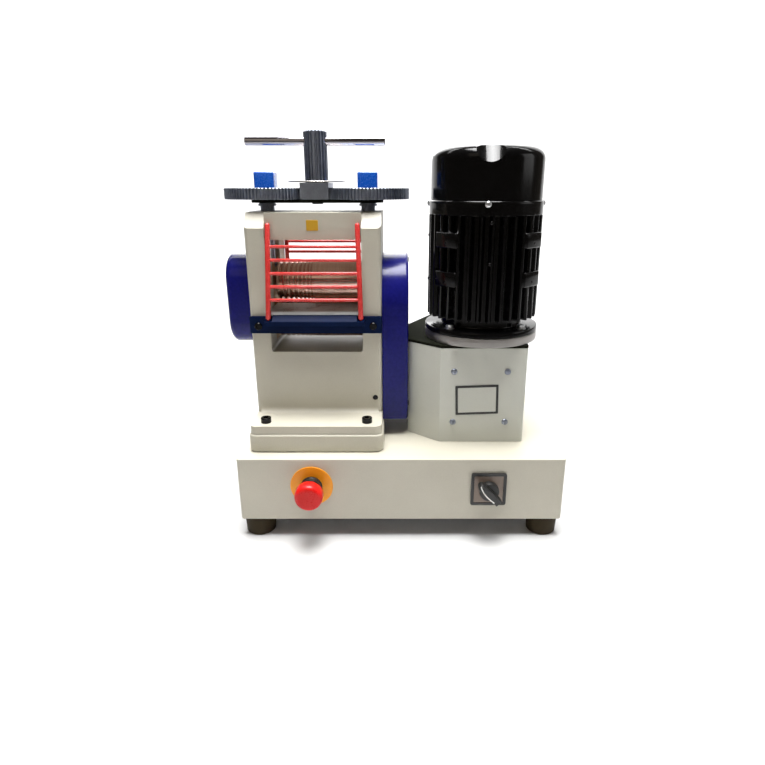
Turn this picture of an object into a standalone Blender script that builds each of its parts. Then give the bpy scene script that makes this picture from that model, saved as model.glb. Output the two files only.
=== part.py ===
"""A motor driven jewellers rolling mill on a sheet steel cabinet.

Metres, +Z up, +X to the operator's right, +Y away from the operator. The pieces are placed from the
middle of the cabinet on the floor, and one empty then centres the whole machine over the origin.
"""

import math

import bmesh
import bpy
from mathutils import Matrix, Vector

# Clearances and cutting
GAP = 0.0003
OVERRUN = 0.002
MERGE = 0.000002
RUNNING = 0.0003

# Cabinet and feet
CABINET_WIDTH = 0.453
CABINET_DEPTH = 0.300
CABINET_HEIGHT = 0.093
CABINET_SHEET = 0.002
CABINET_CORNER = 0.005
FOOT_RADIUS = 0.0222
FOOT_TAPER = 0.0015
FOOT_HEIGHT = 0.028
FOOT_INSET_X = 0.0225
FOOT_INSET_Y = 0.0225
FOOT_POCKET = 0.0075
FOOT_POCKET_DEPTH = 0.009

# Rolling mill head
HEAD_RIGHT = -0.027
PLINTH_LEDGE = 0.002
PLINTH_HEIGHT = 0.0257
PLINTH_CORNER = 0.012
FRAME_WIDTH = 0.184
FRAME_POST = 0.027
FRAME_DEPTH = 0.140
CROSSPIECE_HEIGHT = 0.0355
FRAME_FOOT_DEPTH = 0.252
FRAME_FOOT_THICKNESS = 0.0122
FRAME_FOOT_CORNER = 0.011
FRAME_FILLET = 0.008
FRAME_CORNER = 0.006
FRAME_TOP_CHAMFER = 0.020
WINDOW_SILL = 0.1037
WINDOW_ROOM = 0.0345
WINDOW_CORNER = 0.004
CROSSPIECE_RECESS = 0.009

# Rolls and their bearing blocks
ROLL_RADIUS = 0.028
ROLL_END_ROOM = 0.003
ROLL_EDGE = 0.001
NIP = 0.0005
NECK_RADIUS = 0.013
NECK_CLEARANCE = 0.003
GEAR_SEAT_RADIUS = 0.011
GROOVE_COUNT = 8
GROOVE_START = 0.0035
GROOVE_WIDEST = 0.0058
GROOVE_NARROWEST = 0.0022
GROOVE_LAND = 0.0024
GROOVE_HALF_ANGLE = 45.0
BLOCK_DEPTH = 0.060
BLOCK_SEAT = 0.0075
BLOCK_WALL = 0.0056
OPENING_TRAVEL = 0.005

# Roll gears and drive gears
ROLL_GEAR_TEETH = 20
ROLL_GEAR_ADDENDUM_SHARE = 0.92
ROLL_GEAR_DEDENDUM_SHARE = 1.027
ROLL_GEAR_WIDTH = 0.022
ROLL_GEAR_OFFSET = 0.004
NECK_END = 0.002
DRIVE_TEETH = 30
DRIVE_PINION_TEETH = 16
DRIVE_OFFSET = 0.006
OUTPUT_SHAFT_Z = 0.0764
OUTPUT_SHAFT_RADIUS = 0.010
ADDENDUM_SHARE = 0.88
DEDENDUM_SHARE = 1.0
TOOTH_ROOT_SHARE = 0.31
TOOTH_TIP_SHARE = 0.12

# Gear covers
COVER_SHEET = 0.002
LEFT_COVER_SHEET = 0.0015
LEFT_COVER_ROOM_ABOVE = 0.0015
LEFT_COVER_ROOM_BELOW = 0.0033
LEFT_COVER_SIDE_ROOM = 0.00365
LEFT_COVER_END_ROOM = 0.0118
LEFT_COVER_FILLET = 0.009
RIGHT_COVER_ROOM = 0.0025
RIGHT_COVER_RISE = 0.0403
RIGHT_COVER_END_ROOM = 0.0053
RIGHT_COVER_FILLET = 0.004
COVER_SHAFT_CLEARANCE = 0.003

# Adjusting gear on top
SCREW_INSET = 0.007
SCREW_RADIUS = 0.010
NOSE_RADIUS = 0.006
NOSE_LENGTH = 0.004
BUTTON_RADIUS = 0.009
BUTTON_HEIGHT = 0.004
SCREW_STUB_RADIUS = 0.006
SCREW_STUB = 0.010
COLLAR_RADIUS = 0.013
COLLAR_HEIGHT = 0.004
COLLAR_LIFT = 0.007
SCREW_GEAR_TEETH = 76
PINION_TEETH = 20
SCREW_GEAR_WIDTH = 0.015
YOKE_RADIUS = 0.0218
YOKE_THICKNESS = 0.0044
BRACKET_WALL = 0.0032
BRACKET_DEPTH = 0.066
BRACKET_TOP_THICKNESS = 0.0065
BRACKET_CHEEK = 0.012
PINION_STAND = 0.068
PINION_JOURNAL = 0.008
CAP_SIDE = 0.028
CAP_HEIGHT = 0.021
CAP_EDGE = 0.002
CAP_POCKET = 0.0115
TEE_BAR_LENGTH = 0.194
TEE_BAR_RADIUS = 0.006
TEE_BAR_EDGE = 0.0015
TEE_BAR_DROP = 0.0135
DIAL_RADIUS = 0.040
DIAL_THICKNESS = 0.0015
DIAL_STAND = 0.001

# Guards and feed tables
GUARD_BAR_HEIGHT = 0.024
GUARD_BAR_DROP = 0.03575
GUARD_BAR_THICKNESS = 0.004
GUARD_SHELF_RISE = 0.0135
GUARD_SHELF_THICKNESS = 0.006
GUARD_SHELF_REACH = 0.0142
GUARD_SHELF_END = 0.001
GUARD_LIP_ROOM = 0.002
GUARD_LIP_RUN = 0.009
RAIL_INSET = 0.005
RAIL_SPLAY = 0.0037
RAIL_RADIUS = 0.0035
RAIL_DROP = 0.013
RAIL_LEAN = 0.019
RAIL_STANDOFF = 0.0004
GUARD_ROD_RADIUS = 0.00225
FRONT_ROD_SHARES = (0.239, 0.375, 0.512, 0.648, 0.785)
REAR_ROD_SHARES = (0.275, 0.400, 0.525, 0.650, 0.775)
TABLE_SIDE = 0.001
TABLE_THICKNESS = 0.005
TABLE_DROP = 0.00375
TABLE_LIP = 0.0012
TABLE_CLEARANCE = 0.0025

# Emergency stop
ESTOP_X = -0.124
ESTOP_Z = 0.053
ESTOP_PANEL_HOLE = 0.0115
ESTOP_DISC_RADIUS = 0.0295
ESTOP_DISC_THICKNESS = 0.0015
ESTOP_COLLAR_RADIUS = 0.015
ESTOP_COLLAR_DEPTH = 0.010
ESTOP_BARREL_RADIUS = 0.011
ESTOP_BARREL_LENGTH = 0.018
ESTOP_STEM_RADIUS = 0.006
ESTOP_TRAVEL = 0.004
ESTOP_HEAD_RADIUS = 0.019
ESTOP_HEAD_DEPTH = 0.0225
ESTOP_HEAD_RIM = 0.007
ESTOP_HEAD_FACE = 0.014
ESTOP_HEAD_POCKET = 0.008
ESTOP_BLOCK_WIDTH = 0.030
ESTOP_BLOCK_HEIGHT = 0.038
ESTOP_BLOCK_DEPTH = 0.036
ESTOP_BLOCK_BORE = 0.012

# Selector switch
SWITCH_X = 0.121
SWITCH_Z = 0.0485
SWITCH_PLATE = 0.049
SWITCH_PLATE_THICKNESS = 0.003
SWITCH_PLATE_CORNER = 0.003
SWITCH_SHAFT_RADIUS = 0.004
SWITCH_PANEL_HOLE = 0.011
SWITCH_KNOB_RADIUS = 0.0135
SWITCH_KNOB_DEPTH = 0.009
SWITCH_LEVER_REACH = 0.0215
SWITCH_LEVER_BACK = 0.0175
SWITCH_LEVER_WIDTH = 0.010
SWITCH_LEVER_DEPTH = 0.010
SWITCH_LEVER_ANGLE = 135.0
SWITCH_BLOCK = 0.040
SWITCH_BLOCK_DEPTH = 0.045

# Mains gland
GLAND_X = 0.150
GLAND_Z = 0.040
GLAND_RADIUS = 0.011
GLAND_CAP_RADIUS = 0.009
GLAND_BORE = 0.0045
GLAND_THREAD = 0.008
GLAND_FLANGE = 0.006
GLAND_LENGTH = 0.020

# Worm gearbox
MOTOR_X = 0.117
MOTOR_Y = -0.027
WORM_RADIUS = 0.014
WHEEL_RADIUS = 0.036
WHEEL_TEETH = 30
WHEEL_WIDTH = 0.020
WORM_ADDENDUM = 0.0019
WORM_DEDENDUM = 0.0023
WORM_TURNS = 4
WORM_BORE = 0.0083
WORM_END_WALL = 0.010
WORM_END_SHARE = 0.5
WORM_TIP_SHARE = 0.10
WORM_ROOT_SHARE = 0.25
HOUSING_LEFT = 0.067
HOUSING_RIGHT = 0.043
HOUSING_FRONT = 0.060
HOUSING_BACK = 0.074
HOUSING_TOP = 0.1407
HOUSING_WALL = 0.008
HOUSING_FOOT = 0.008
HOUSING_FOOT_HEIGHT = 0.010
HOUSING_LUG = 0.012

# Gearbox cover
GEARBOX_SPACE = 0.0007
GEARBOX_RIGHT = 0.177
GEARBOX_FRONT = 0.091
GEARBOX_BACK = 0.115
GEARBOX_FRONT_CUT_X = 0.044
GEARBOX_FRONT_CUT_Y = 0.038
GEARBOX_BACK_CUT_X = 0.0397
GEARBOX_BACK_CUT_Y = 0.0742
GEARBOX_SHEET = 0.002
GEARBOX_GROUND = 0.003
GEARBOX_TAB = 0.010
GEARBOX_TAB_SINK = 0.0005
GEARBOX_SCREW_LEFT = 0.0745
GEARBOX_SCREW_RIGHT = 0.1495
GEARBOX_SCREW_LOW = 0.031
GEARBOX_SCREW_HIGH = 0.107

# Motor
MOTOR_PLATE_THICKNESS = 0.004
MOTOR_PLATE_HOLE = 0.050
ADAPTER_RADIUS = 0.081
ADAPTER_HEIGHT = 0.0122
FLANGE_HEIGHT = 0.0077
FLANGE_NECK_RADIUS = 0.058
FLANGE_NECK_HEIGHT = 0.0128
MOTOR_RADIUS = 0.078
MOTOR_FIN_ROOT = 0.068
MOTOR_FIN_COUNT = 32
MOTOR_FIN_ROOT_SHARE = 0.24
MOTOR_FIN_TIP_SHARE = 0.14
MOTOR_BORE = 0.056
MOTOR_BODY_HEIGHT = 0.138
MOTOR_PAD_ANGLE = 47.0
MOTOR_PAD_WIDTH = 0.036
MOTOR_PAD_HEIGHT = 0.020
MOTOR_PAD_REACH = 0.0805
MOTOR_PAD_LOW = 0.056
MOTOR_PAD_HIGH = 0.107
STATOR_BORE = 0.036
STATOR_END = 0.010
ROTOR_RADIUS = 0.0352
ROTOR_END = 0.014
SHIELD_HEIGHT = 0.0233
SHIELD_RIM = 0.019
COWL_RADIUS = 0.076
COWL_SHEET = 0.0015
COWL_HEIGHT = 0.0658
COWL_SHOULDER = 0.0145
COWL_TOP_RADIUS = 0.0585
COWL_SCOOPS = 4
COWL_SCOOP_RADIUS = 0.034
COWL_SCOOP_OFFSET = 0.1035
COWL_SCOOP_TURN = -5.0
COWL_SCOOP_LEAN = 43.0
COWL_SCOOP_REACH = 0.040
COWL_VENT_COUNT = 12
COWL_VENT_INNER = 0.022
COWL_VENT_OUTER = 0.048
COWL_VENT_WIDTH = 0.005
SHAFT_RADIUS = 0.010
SHAFT_END_RADIUS = 0.008
FAN_BLADES = 7
FAN_RADIUS = 0.060
FAN_HUB = 0.018
FAN_HEIGHT = 0.018
FAN_STAND = 0.006
FAN_ROOT_SHARE = 0.093
FAN_TIP_SHARE = 0.028
TERMINAL_WIDTH = 0.080
TERMINAL_HEIGHT = 0.070
TERMINAL_DEPTH = 0.040
TERMINAL_CORNER = 0.006
TERMINAL_RISE = 0.034

# Facet counts
LARGE_STEPS = 32
ROUND_STEPS = 20
SMALL_STEPS = 12
ROD_STEPS = 8
CORNER_STEPS = 3
SMALL_CORNER_STEPS = 2
HALF_ROUND_STEPS = 6
ARCH_STEPS = 9
WORM_STEPS = 12

# Levels and places that follow from the sizes above
CABINET_TOP = FOOT_HEIGHT + CABINET_HEIGHT
CABINET_FRONT = -CABINET_DEPTH / 2
FOOT_X = CABINET_WIDTH / 2 - FOOT_INSET_X
FOOT_Y = CABINET_DEPTH / 2 - FOOT_INSET_Y
PLINTH_LOW = CABINET_TOP + GAP
PLINTH_WIDTH = FRAME_WIDTH + 2 * PLINTH_LEDGE
PLINTH_DEPTH = FRAME_FOOT_DEPTH + 2 * PLINTH_LEDGE
FRAME_LOW = PLINTH_LOW + PLINTH_HEIGHT + GAP
FRAME_FOOT_TOP = FRAME_LOW + FRAME_FOOT_THICKNESS
FRAME_SIDE = FRAME_WIDTH / 2
FRAME_FRONT = FRAME_DEPTH / 2
HEAD_X = HEAD_RIGHT - FRAME_SIDE
WINDOW_WIDTH = FRAME_WIDTH - 2 * FRAME_POST
WINDOW_LOW = FRAME_LOW + WINDOW_SILL
ROLL_FACE = WINDOW_WIDTH - 2 * ROLL_END_ROOM
ROLL_DISTANCE = 2 * ROLL_RADIUS + NIP
BLOCK_HALF_HEIGHT = ROLL_RADIUS
BLOCK_SLOT = FRAME_POST - BLOCK_WALL
BLOCK_THICKNESS = BLOCK_SLOT - 2 * GAP
BLOCK_INNER = WINDOW_WIDTH / 2 + GAP
LOWER_AXIS = WINDOW_LOW + BLOCK_SEAT + BLOCK_HALF_HEIGHT
NIP_LEVEL = LOWER_AXIS + ROLL_DISTANCE / 2
UPPER_AXIS = LOWER_AXIS + ROLL_DISTANCE
BLOCK_TOP = UPPER_AXIS + BLOCK_HALF_HEIGHT
WINDOW_TOP = BLOCK_TOP + WINDOW_ROOM
FRAME_TOP = WINDOW_TOP + CROSSPIECE_HEIGHT
BUTTON_TOP = BLOCK_TOP - NOSE_LENGTH
BUTTON_LOW = BUTTON_TOP - BUTTON_HEIGHT
OUTPUT_Y = MOTOR_Y + WORM_RADIUS + WHEEL_RADIUS
OUTPUT_Z = CABINET_TOP + OUTPUT_SHAFT_Z
WORM_LEAD = 2 * math.pi * WHEEL_RADIUS / WHEEL_TEETH
WORM_START = OUTPUT_Z - (WORM_TURNS / 2 + 1 / 4) * WORM_LEAD
WORM_LOW = WORM_START - WORM_END_SHARE * WORM_LEAD
WORM_HIGH = WORM_START + (WORM_TURNS - 1 / WORM_STEPS + WORM_END_SHARE) * WORM_LEAD
DRIVE_DISTANCE = math.hypot(OUTPUT_Y, LOWER_AXIS - OUTPUT_Z)
DRIVE_MODULE = 2 * DRIVE_DISTANCE / (DRIVE_TEETH + DRIVE_PINION_TEETH)
DRIVE_TIP = (DRIVE_TEETH / 2 + ADDENDUM_SHARE) * DRIVE_MODULE
ROLL_GEAR_MODULE = ROLL_DISTANCE / ROLL_GEAR_TEETH
ROLL_GEAR_ADDENDUM = ROLL_GEAR_ADDENDUM_SHARE * ROLL_GEAR_MODULE
ROLL_GEAR_DEDENDUM = ROLL_GEAR_DEDENDUM_SHARE * ROLL_GEAR_MODULE
ROLL_GEAR_TIP = ROLL_DISTANCE / 2 + ROLL_GEAR_ADDENDUM
ROLL_GEAR_LEFT = FRAME_SIDE + ROLL_GEAR_OFFSET
DRIVE_LEFT = FRAME_SIDE + DRIVE_OFFSET
LEFT_COVER_RADIUS = ROLL_GEAR_TIP + LEFT_COVER_SIDE_ROOM + LEFT_COVER_SHEET
LEFT_COVER_TOP = UPPER_AXIS + OPENING_TRAVEL + ROLL_GEAR_TIP + LEFT_COVER_ROOM_ABOVE + LEFT_COVER_SHEET
LEFT_COVER_LOW = LOWER_AXIS - ROLL_GEAR_TIP - LEFT_COVER_ROOM_BELOW - LEFT_COVER_SHEET
LEFT_COVER_REACH = ROLL_GEAR_OFFSET + ROLL_GEAR_WIDTH + NECK_END + LEFT_COVER_END_ROOM
LEFT_COVER_DEPTH = LEFT_COVER_REACH + LEFT_COVER_SHEET - GAP
RIGHT_COVER_RADIUS = DRIVE_TIP + RIGHT_COVER_ROOM + COVER_SHEET
RIGHT_COVER_TOP = UPPER_AXIS + RIGHT_COVER_RISE
RIGHT_COVER_REACH = DRIVE_OFFSET + ROLL_GEAR_WIDTH + NECK_END + RIGHT_COVER_END_ROOM
RIGHT_COVER_DEPTH = RIGHT_COVER_REACH + COVER_SHEET - GAP
GEARBOX_LEFT = HEAD_RIGHT + GAP + RIGHT_COVER_DEPTH + GEARBOX_SPACE
SCREW_X = WINDOW_WIDTH / 2 + SCREW_INSET
YOKE_LOW = FRAME_TOP + COLLAR_LIFT + COLLAR_HEIGHT + GAP
YOKE_TOP = YOKE_LOW + YOKE_THICKNESS
GEAR_LOW = YOKE_TOP + GAP
GEAR_TOP = GEAR_LOW + SCREW_GEAR_WIDTH
BRACKET_TOP = GEAR_TOP + GAP + BRACKET_TOP_THICKNESS
PINION_TOP = BRACKET_TOP + PINION_STAND
SCREW_MODULE = 2 * SCREW_X / (SCREW_GEAR_TEETH + PINION_TEETH)
PINION_TIP = (PINION_TEETH / 2 + ADDENDUM_SHARE) * SCREW_MODULE
BRACKET_WIDTH = 2 * (PINION_TIP + BRACKET_WALL)
GUARD_BAR_LOW = NIP_LEVEL - GUARD_BAR_DROP
GUARD_BAR_TOP = GUARD_BAR_LOW + GUARD_BAR_HEIGHT
GUARD_BAR_FRONT = FRAME_FRONT + GAP + GUARD_BAR_THICKNESS
GUARD_SHELF_LOW = GUARD_BAR_LOW + GUARD_SHELF_RISE
GUARD_SHELF_TOP = GUARD_SHELF_LOW + GUARD_SHELF_THICKNESS
GUARD_SHELF_FRONT = GUARD_BAR_FRONT + GUARD_SHELF_REACH
RAIL_X = WINDOW_WIDTH / 2 - RAIL_INSET
RAIL_FOOT_X = RAIL_X + RAIL_SPLAY
GUARD_LIP_WIDTH = 2 * (RAIL_FOOT_X - RAIL_RADIUS - GUARD_LIP_ROOM)
TABLE_WIDTH = WINDOW_WIDTH - 2 * TABLE_SIDE
TABLE_LEVEL = NIP_LEVEL - TABLE_DROP
HOUSING_LOW = CABINET_TOP + GAP
HOUSING_HIGH = CABINET_TOP + HOUSING_TOP
MOTOR_PLATE_LOW = HOUSING_HIGH + GAP
ADAPTER_LOW = MOTOR_PLATE_LOW + MOTOR_PLATE_THICKNESS + GAP
FLANGE_LOW = ADAPTER_LOW + ADAPTER_HEIGHT + GAP
FLANGE_TOP = FLANGE_LOW + FLANGE_HEIGHT
MOTOR_BODY_LOW = FLANGE_TOP + FLANGE_NECK_HEIGHT + GAP
MOTOR_BODY_TOP = MOTOR_BODY_LOW + MOTOR_BODY_HEIGHT
SHIELD_LOW = MOTOR_BODY_TOP + GAP
SHIELD_TOP = SHIELD_LOW + SHIELD_HEIGHT
COWL_LOW = SHIELD_LOW + SHIELD_RIM + GAP
COWL_TOP = COWL_LOW + COWL_HEIGHT
ESTOP_HEIGHT = FOOT_HEIGHT + ESTOP_Z
SWITCH_HEIGHT = FOOT_HEIGHT + SWITCH_Z
GLAND_HEIGHT = FOOT_HEIGHT + GLAND_Z
ESTOP_HEAD_BACK = CABINET_FRONT - ESTOP_DISC_THICKNESS - ESTOP_COLLAR_DEPTH - ESTOP_TRAVEL - 3 * GAP
ESTOP_FACE = ESTOP_HEAD_BACK - ESTOP_HEAD_DEPTH

# The machine's reach on each side, which places it over the origin
SCREW_GEAR_REACH = SCREW_X + (SCREW_GEAR_TEETH / 2 + ADDENDUM_SHARE) * SCREW_MODULE
LEFT_REACH = HEAD_X - max(SCREW_GEAR_REACH, FRAME_SIDE + GAP + LEFT_COVER_DEPTH)
RIGHT_REACH = CABINET_WIDTH / 2
BACK_REACH = CABINET_DEPTH / 2 + GAP + GLAND_LENGTH
CENTRE_X = (LEFT_REACH + RIGHT_REACH) / 2
CENTRE_Y = (ESTOP_FACE + BACK_REACH) / 2

AXES = {"X": (1, 2, 0), "Y": (0, 2, 1), "Z": (0, 1, 2)}
SHARP_ANGLE = math.radians(32)


def finish(name, colour, roughness, metallic=0.0):
    """A plain material with the piece's colour."""
    made = bpy.data.materials.new(name)
    made.use_nodes = True
    shader = made.node_tree.nodes["Principled BSDF"]
    shader.inputs["Base Color"].default_value = (*colour, 1.0)
    shader.inputs["Roughness"].default_value = roughness
    shader.inputs["Metallic"].default_value = metallic
    return made


def circle(radius, steps, centre=(0, 0), turn=0.0):
    """Points round a circle."""
    angles = [turn + 2 * math.pi * step / steps for step in range(steps)]
    return [(centre[0] + radius * math.cos(a), centre[1] + radius * math.sin(a)) for a in angles]


def arc(radius, centre, start, end, steps=CORNER_STEPS):
    """Points along part of a circle, both ends included, in degrees."""
    points = []
    for step in range(steps + 1):
        angle = math.radians(start + (end - start) * step / steps)
        points.append((centre[0] + radius * math.cos(angle), centre[1] + radius * math.sin(angle)))
    return points


def rectangle(low, high):
    """The four corners between two opposite ones."""
    return [(low[0], low[1]), (high[0], low[1]), (high[0], high[1]), (low[0], high[1])]


def rounded(low, high, radius, steps=CORNER_STEPS):
    """A rectangle with round corners."""
    right, top = high[0] - radius, high[1] - radius
    left, bottom = low[0] + radius, low[1] + radius
    points = arc(radius, (right, top), 0, 90, steps) + arc(radius, (left, top), 90, 180, steps)
    return points + arc(radius, (left, bottom), 180, 270, steps) + arc(radius, (right, bottom), 270, 360, steps)


def gear(teeth, module, turn=0.0, addendum=None, dedendum=None):
    """A spur gear's outline, with the middle of one tooth at the angle turn."""
    pitch = module * teeth / 2
    tip = pitch + (ADDENDUM_SHARE * module if addendum is None else addendum)
    root = pitch - (DEDENDUM_SHARE * module if dedendum is None else dedendum)
    return toothed(teeth, root, tip, TOOTH_ROOT_SHARE, TOOTH_TIP_SHARE, turn)


def toothed(teeth, root, tip, root_share, tip_share, turn=0.0):
    """An outline of straight sided teeth, whose half widths are shares of the tooth's angle."""
    step = 2 * math.pi / teeth
    points = []
    for tooth in range(teeth):
        middle = turn + tooth * step
        for radius, share in ((root, -root_share), (tip, -tip_share), (tip, tip_share), (root, root_share)):
            angle = middle + share * step
            points.append((radius * math.cos(angle), radius * math.sin(angle)))
    return points


def moved(points, offset):
    """The same outline somewhere else."""
    return [(u + offset[0], v + offset[1]) for u, v in points]


def prism(outline, low, high, axis="Z", holes=(), twist=0.0, centre=(0, 0)):
    """An outline with holes, extruded from low to high along an axis. A twist turns the two ends apart."""
    u, v, depth = AXES[axis]
    shape = bmesh.new()
    edges = []
    for loop in (outline, *holes):
        corners = []
        for point in loop:
            place = [0.0, 0.0, 0.0]
            place[u], place[v], place[depth] = point[0], point[1], low
            corners.append(shape.verts.new(place))
        edges += [shape.edges.new((corners[i - 1], corners[i])) for i in range(len(corners))]
    bmesh.ops.triangle_fill(shape, edges=edges, use_beauty=True, use_dissolve=False)
    bottom = list(shape.verts)
    made = bmesh.ops.extrude_face_region(shape, geom=shape.faces[:])
    top = [item for item in made["geom"] if isinstance(item, bmesh.types.BMVert)]
    step = Vector((0, 0, 0))
    step[depth] = high - low
    bmesh.ops.translate(shape, verts=top, vec=step)
    if twist:
        middle = Vector((0, 0, 0))
        middle[u], middle[v] = centre
        for verts, angle in ((bottom, -twist), (top, twist)):
            bmesh.ops.rotate(shape, verts=verts, cent=middle, matrix=Matrix.Rotation(angle, 3, axis))
    bmesh.ops.recalc_face_normals(shape, faces=shape.faces)
    return shape


def turned(profile, steps=ROUND_STEPS, axis="Z", centre=(0, 0, 0)):
    """A profile of radius and height, spun round an axis through the centre. A ring's profile is a closed loop."""
    shape = bmesh.new()
    corners = [shape.verts.new((radius, 0, height)) for radius, height in profile]
    edges = [shape.edges.new(pair) for pair in zip(corners, corners[1:])]
    if min(radius for radius, _ in profile) > 0:
        edges.append(shape.edges.new((corners[-1], corners[0])))
    geometry = corners + edges
    whole_turn = 2 * math.pi
    bmesh.ops.spin(shape, geom=geometry, axis=(0, 0, 1), cent=(0, 0, 0), angle=whole_turn, steps=steps)
    bmesh.ops.remove_doubles(shape, verts=shape.verts, dist=MERGE)
    if axis == "X":
        shape.transform(Matrix.Rotation(math.pi / 2, 4, "Y"))
    if axis == "Y":
        shape.transform(Matrix.Rotation(-math.pi / 2, 4, "X"))
    bmesh.ops.translate(shape, verts=shape.verts, vec=centre)
    bmesh.ops.recalc_face_normals(shape, faces=shape.faces)
    return shape


def rod(radius, low, high, axis="Z", centre=(0, 0, 0), steps=ROUND_STEPS):
    """A plain round bar along an axis."""
    return turned([(0, low), (radius, low), (radius, high), (0, high)], steps, axis, centre)


def ring(inner, outer, low, high, axis="Z", centre=(0, 0, 0), steps=ROUND_STEPS):
    """A plain tube along an axis."""
    return turned([(inner, low), (outer, low), (outer, high), (inner, high)], steps, axis, centre)


def box(low, high):
    """A block between two opposite corners."""
    return prism(rectangle(low[:2], high[:2]), low[2], high[2])


def gather(*shapes):
    """Several shapes as separate bodies of one mesh."""
    whole = bmesh.new()
    for shape in shapes:
        passing = bpy.data.meshes.new("passing")
        shape.to_mesh(passing)
        shape.free()
        whole.from_mesh(passing)
        bpy.data.meshes.remove(passing)
    return whole


def to_object(name, shape, origin=(0, 0, 0)):
    """The shape as an object whose origin is at the given place."""
    bmesh.ops.translate(shape, verts=shape.verts, vec=-Vector(origin))
    mesh = bpy.data.meshes.new(name)
    shape.to_mesh(mesh)
    shape.free()
    made = bpy.data.objects.new(name, mesh)
    bpy.context.scene.collection.objects.link(made)
    made.parent = bpy.data.objects["machine_centre"]
    made.location = origin
    return made


def piece(name, shape, look, origin=(0, 0, 0)):
    """A named piece of the machine, with its material."""
    made = to_object(name, shape, origin)
    made.data.materials.append(look)
    made.data.shade_smooth()
    made.data.set_sharp_from_angle(angle=SHARP_ANGLE)
    return made


def hidden(name, shape):
    """A helper for a Boolean, which isn't part of the machine."""
    helper = to_object(name, shape)
    helper.hide_render = True
    helper.display_type = "WIRE"
    return helper


def combine(target, operation, helper):
    """Cuts a hidden helper from a piece, or joins it to the piece, by a Boolean."""
    step = target.modifiers.new(operation.title(), "BOOLEAN")
    step.operation = operation
    step.object = helper
    step.solver = "EXACT"


def cut(target, *shapes):
    """Cuts shapes that don't overlap each other from a piece."""
    combine(target, "DIFFERENCE", hidden(f"{target.name}_cutter_{len(target.modifiers)}", gather(*shapes)))


def join(target, *shapes):
    """Joins shapes to a piece, one after the other."""
    for shape in shapes:
        combine(target, "UNION", hidden(f"{target.name}_addition_{len(target.modifiers)}", shape))


def corners_of(x, y):
    """The four places at plus and minus x and y."""
    return [(side * x, end * y) for side in (-1, 1) for end in (-1, 1)]


def inset(points, distance):
    """A convex outline with every side moved inwards."""
    count = len(points)
    lines = []
    for index in range(count):
        start, end = Vector(points[index]), Vector(points[(index + 1) % count])
        along = (end - start).normalized()
        inward = Vector((-along.y, along.x))
        lines.append((start + inward * distance, along))
    result = []
    for index in range(count):
        (first, before), (second, after) = lines[index - 1], lines[index]
        across = before.x * after.y - before.y * after.x
        away = second - first
        reach = (away.x * after.y - away.y * after.x) / across
        result.append(tuple(first + before * reach))
    return result


def layered(layers, axis="Z"):
    """A solid through several outlines with the same number of points, each at its own depth."""
    u, v, depth = AXES[axis]
    shape = bmesh.new()
    loops = []
    for outline, level in layers:
        loop = []
        for point in outline:
            place = [0.0, 0.0, 0.0]
            place[u], place[v], place[depth] = point[0], point[1], level
            loop.append(shape.verts.new(place))
        loops.append(loop)
    for first, second in zip(loops, loops[1:]):
        for index in range(len(first)):
            shape.faces.new((first[index - 1], first[index], second[index], second[index - 1]))
    shape.faces.new(loops[0])
    shape.faces.new(loops[-1])
    bmesh.ops.recalc_face_normals(shape, faces=shape.faces)
    return shape


def domed(outline, near, far, axis, radius):
    """A convex outline extruded from near to far, with a round edge at the far end."""
    way = 1 if far > near else -1
    layers = [(outline, near)]
    for step in range(CORNER_STEPS + 1):
        angle = math.pi / 2 * step / CORNER_STEPS
        level = far - way * radius * (1 - math.sin(angle))
        layers.append((inset(outline, radius * (1 - math.cos(angle))), level))
    return layered(layers, axis)


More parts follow.
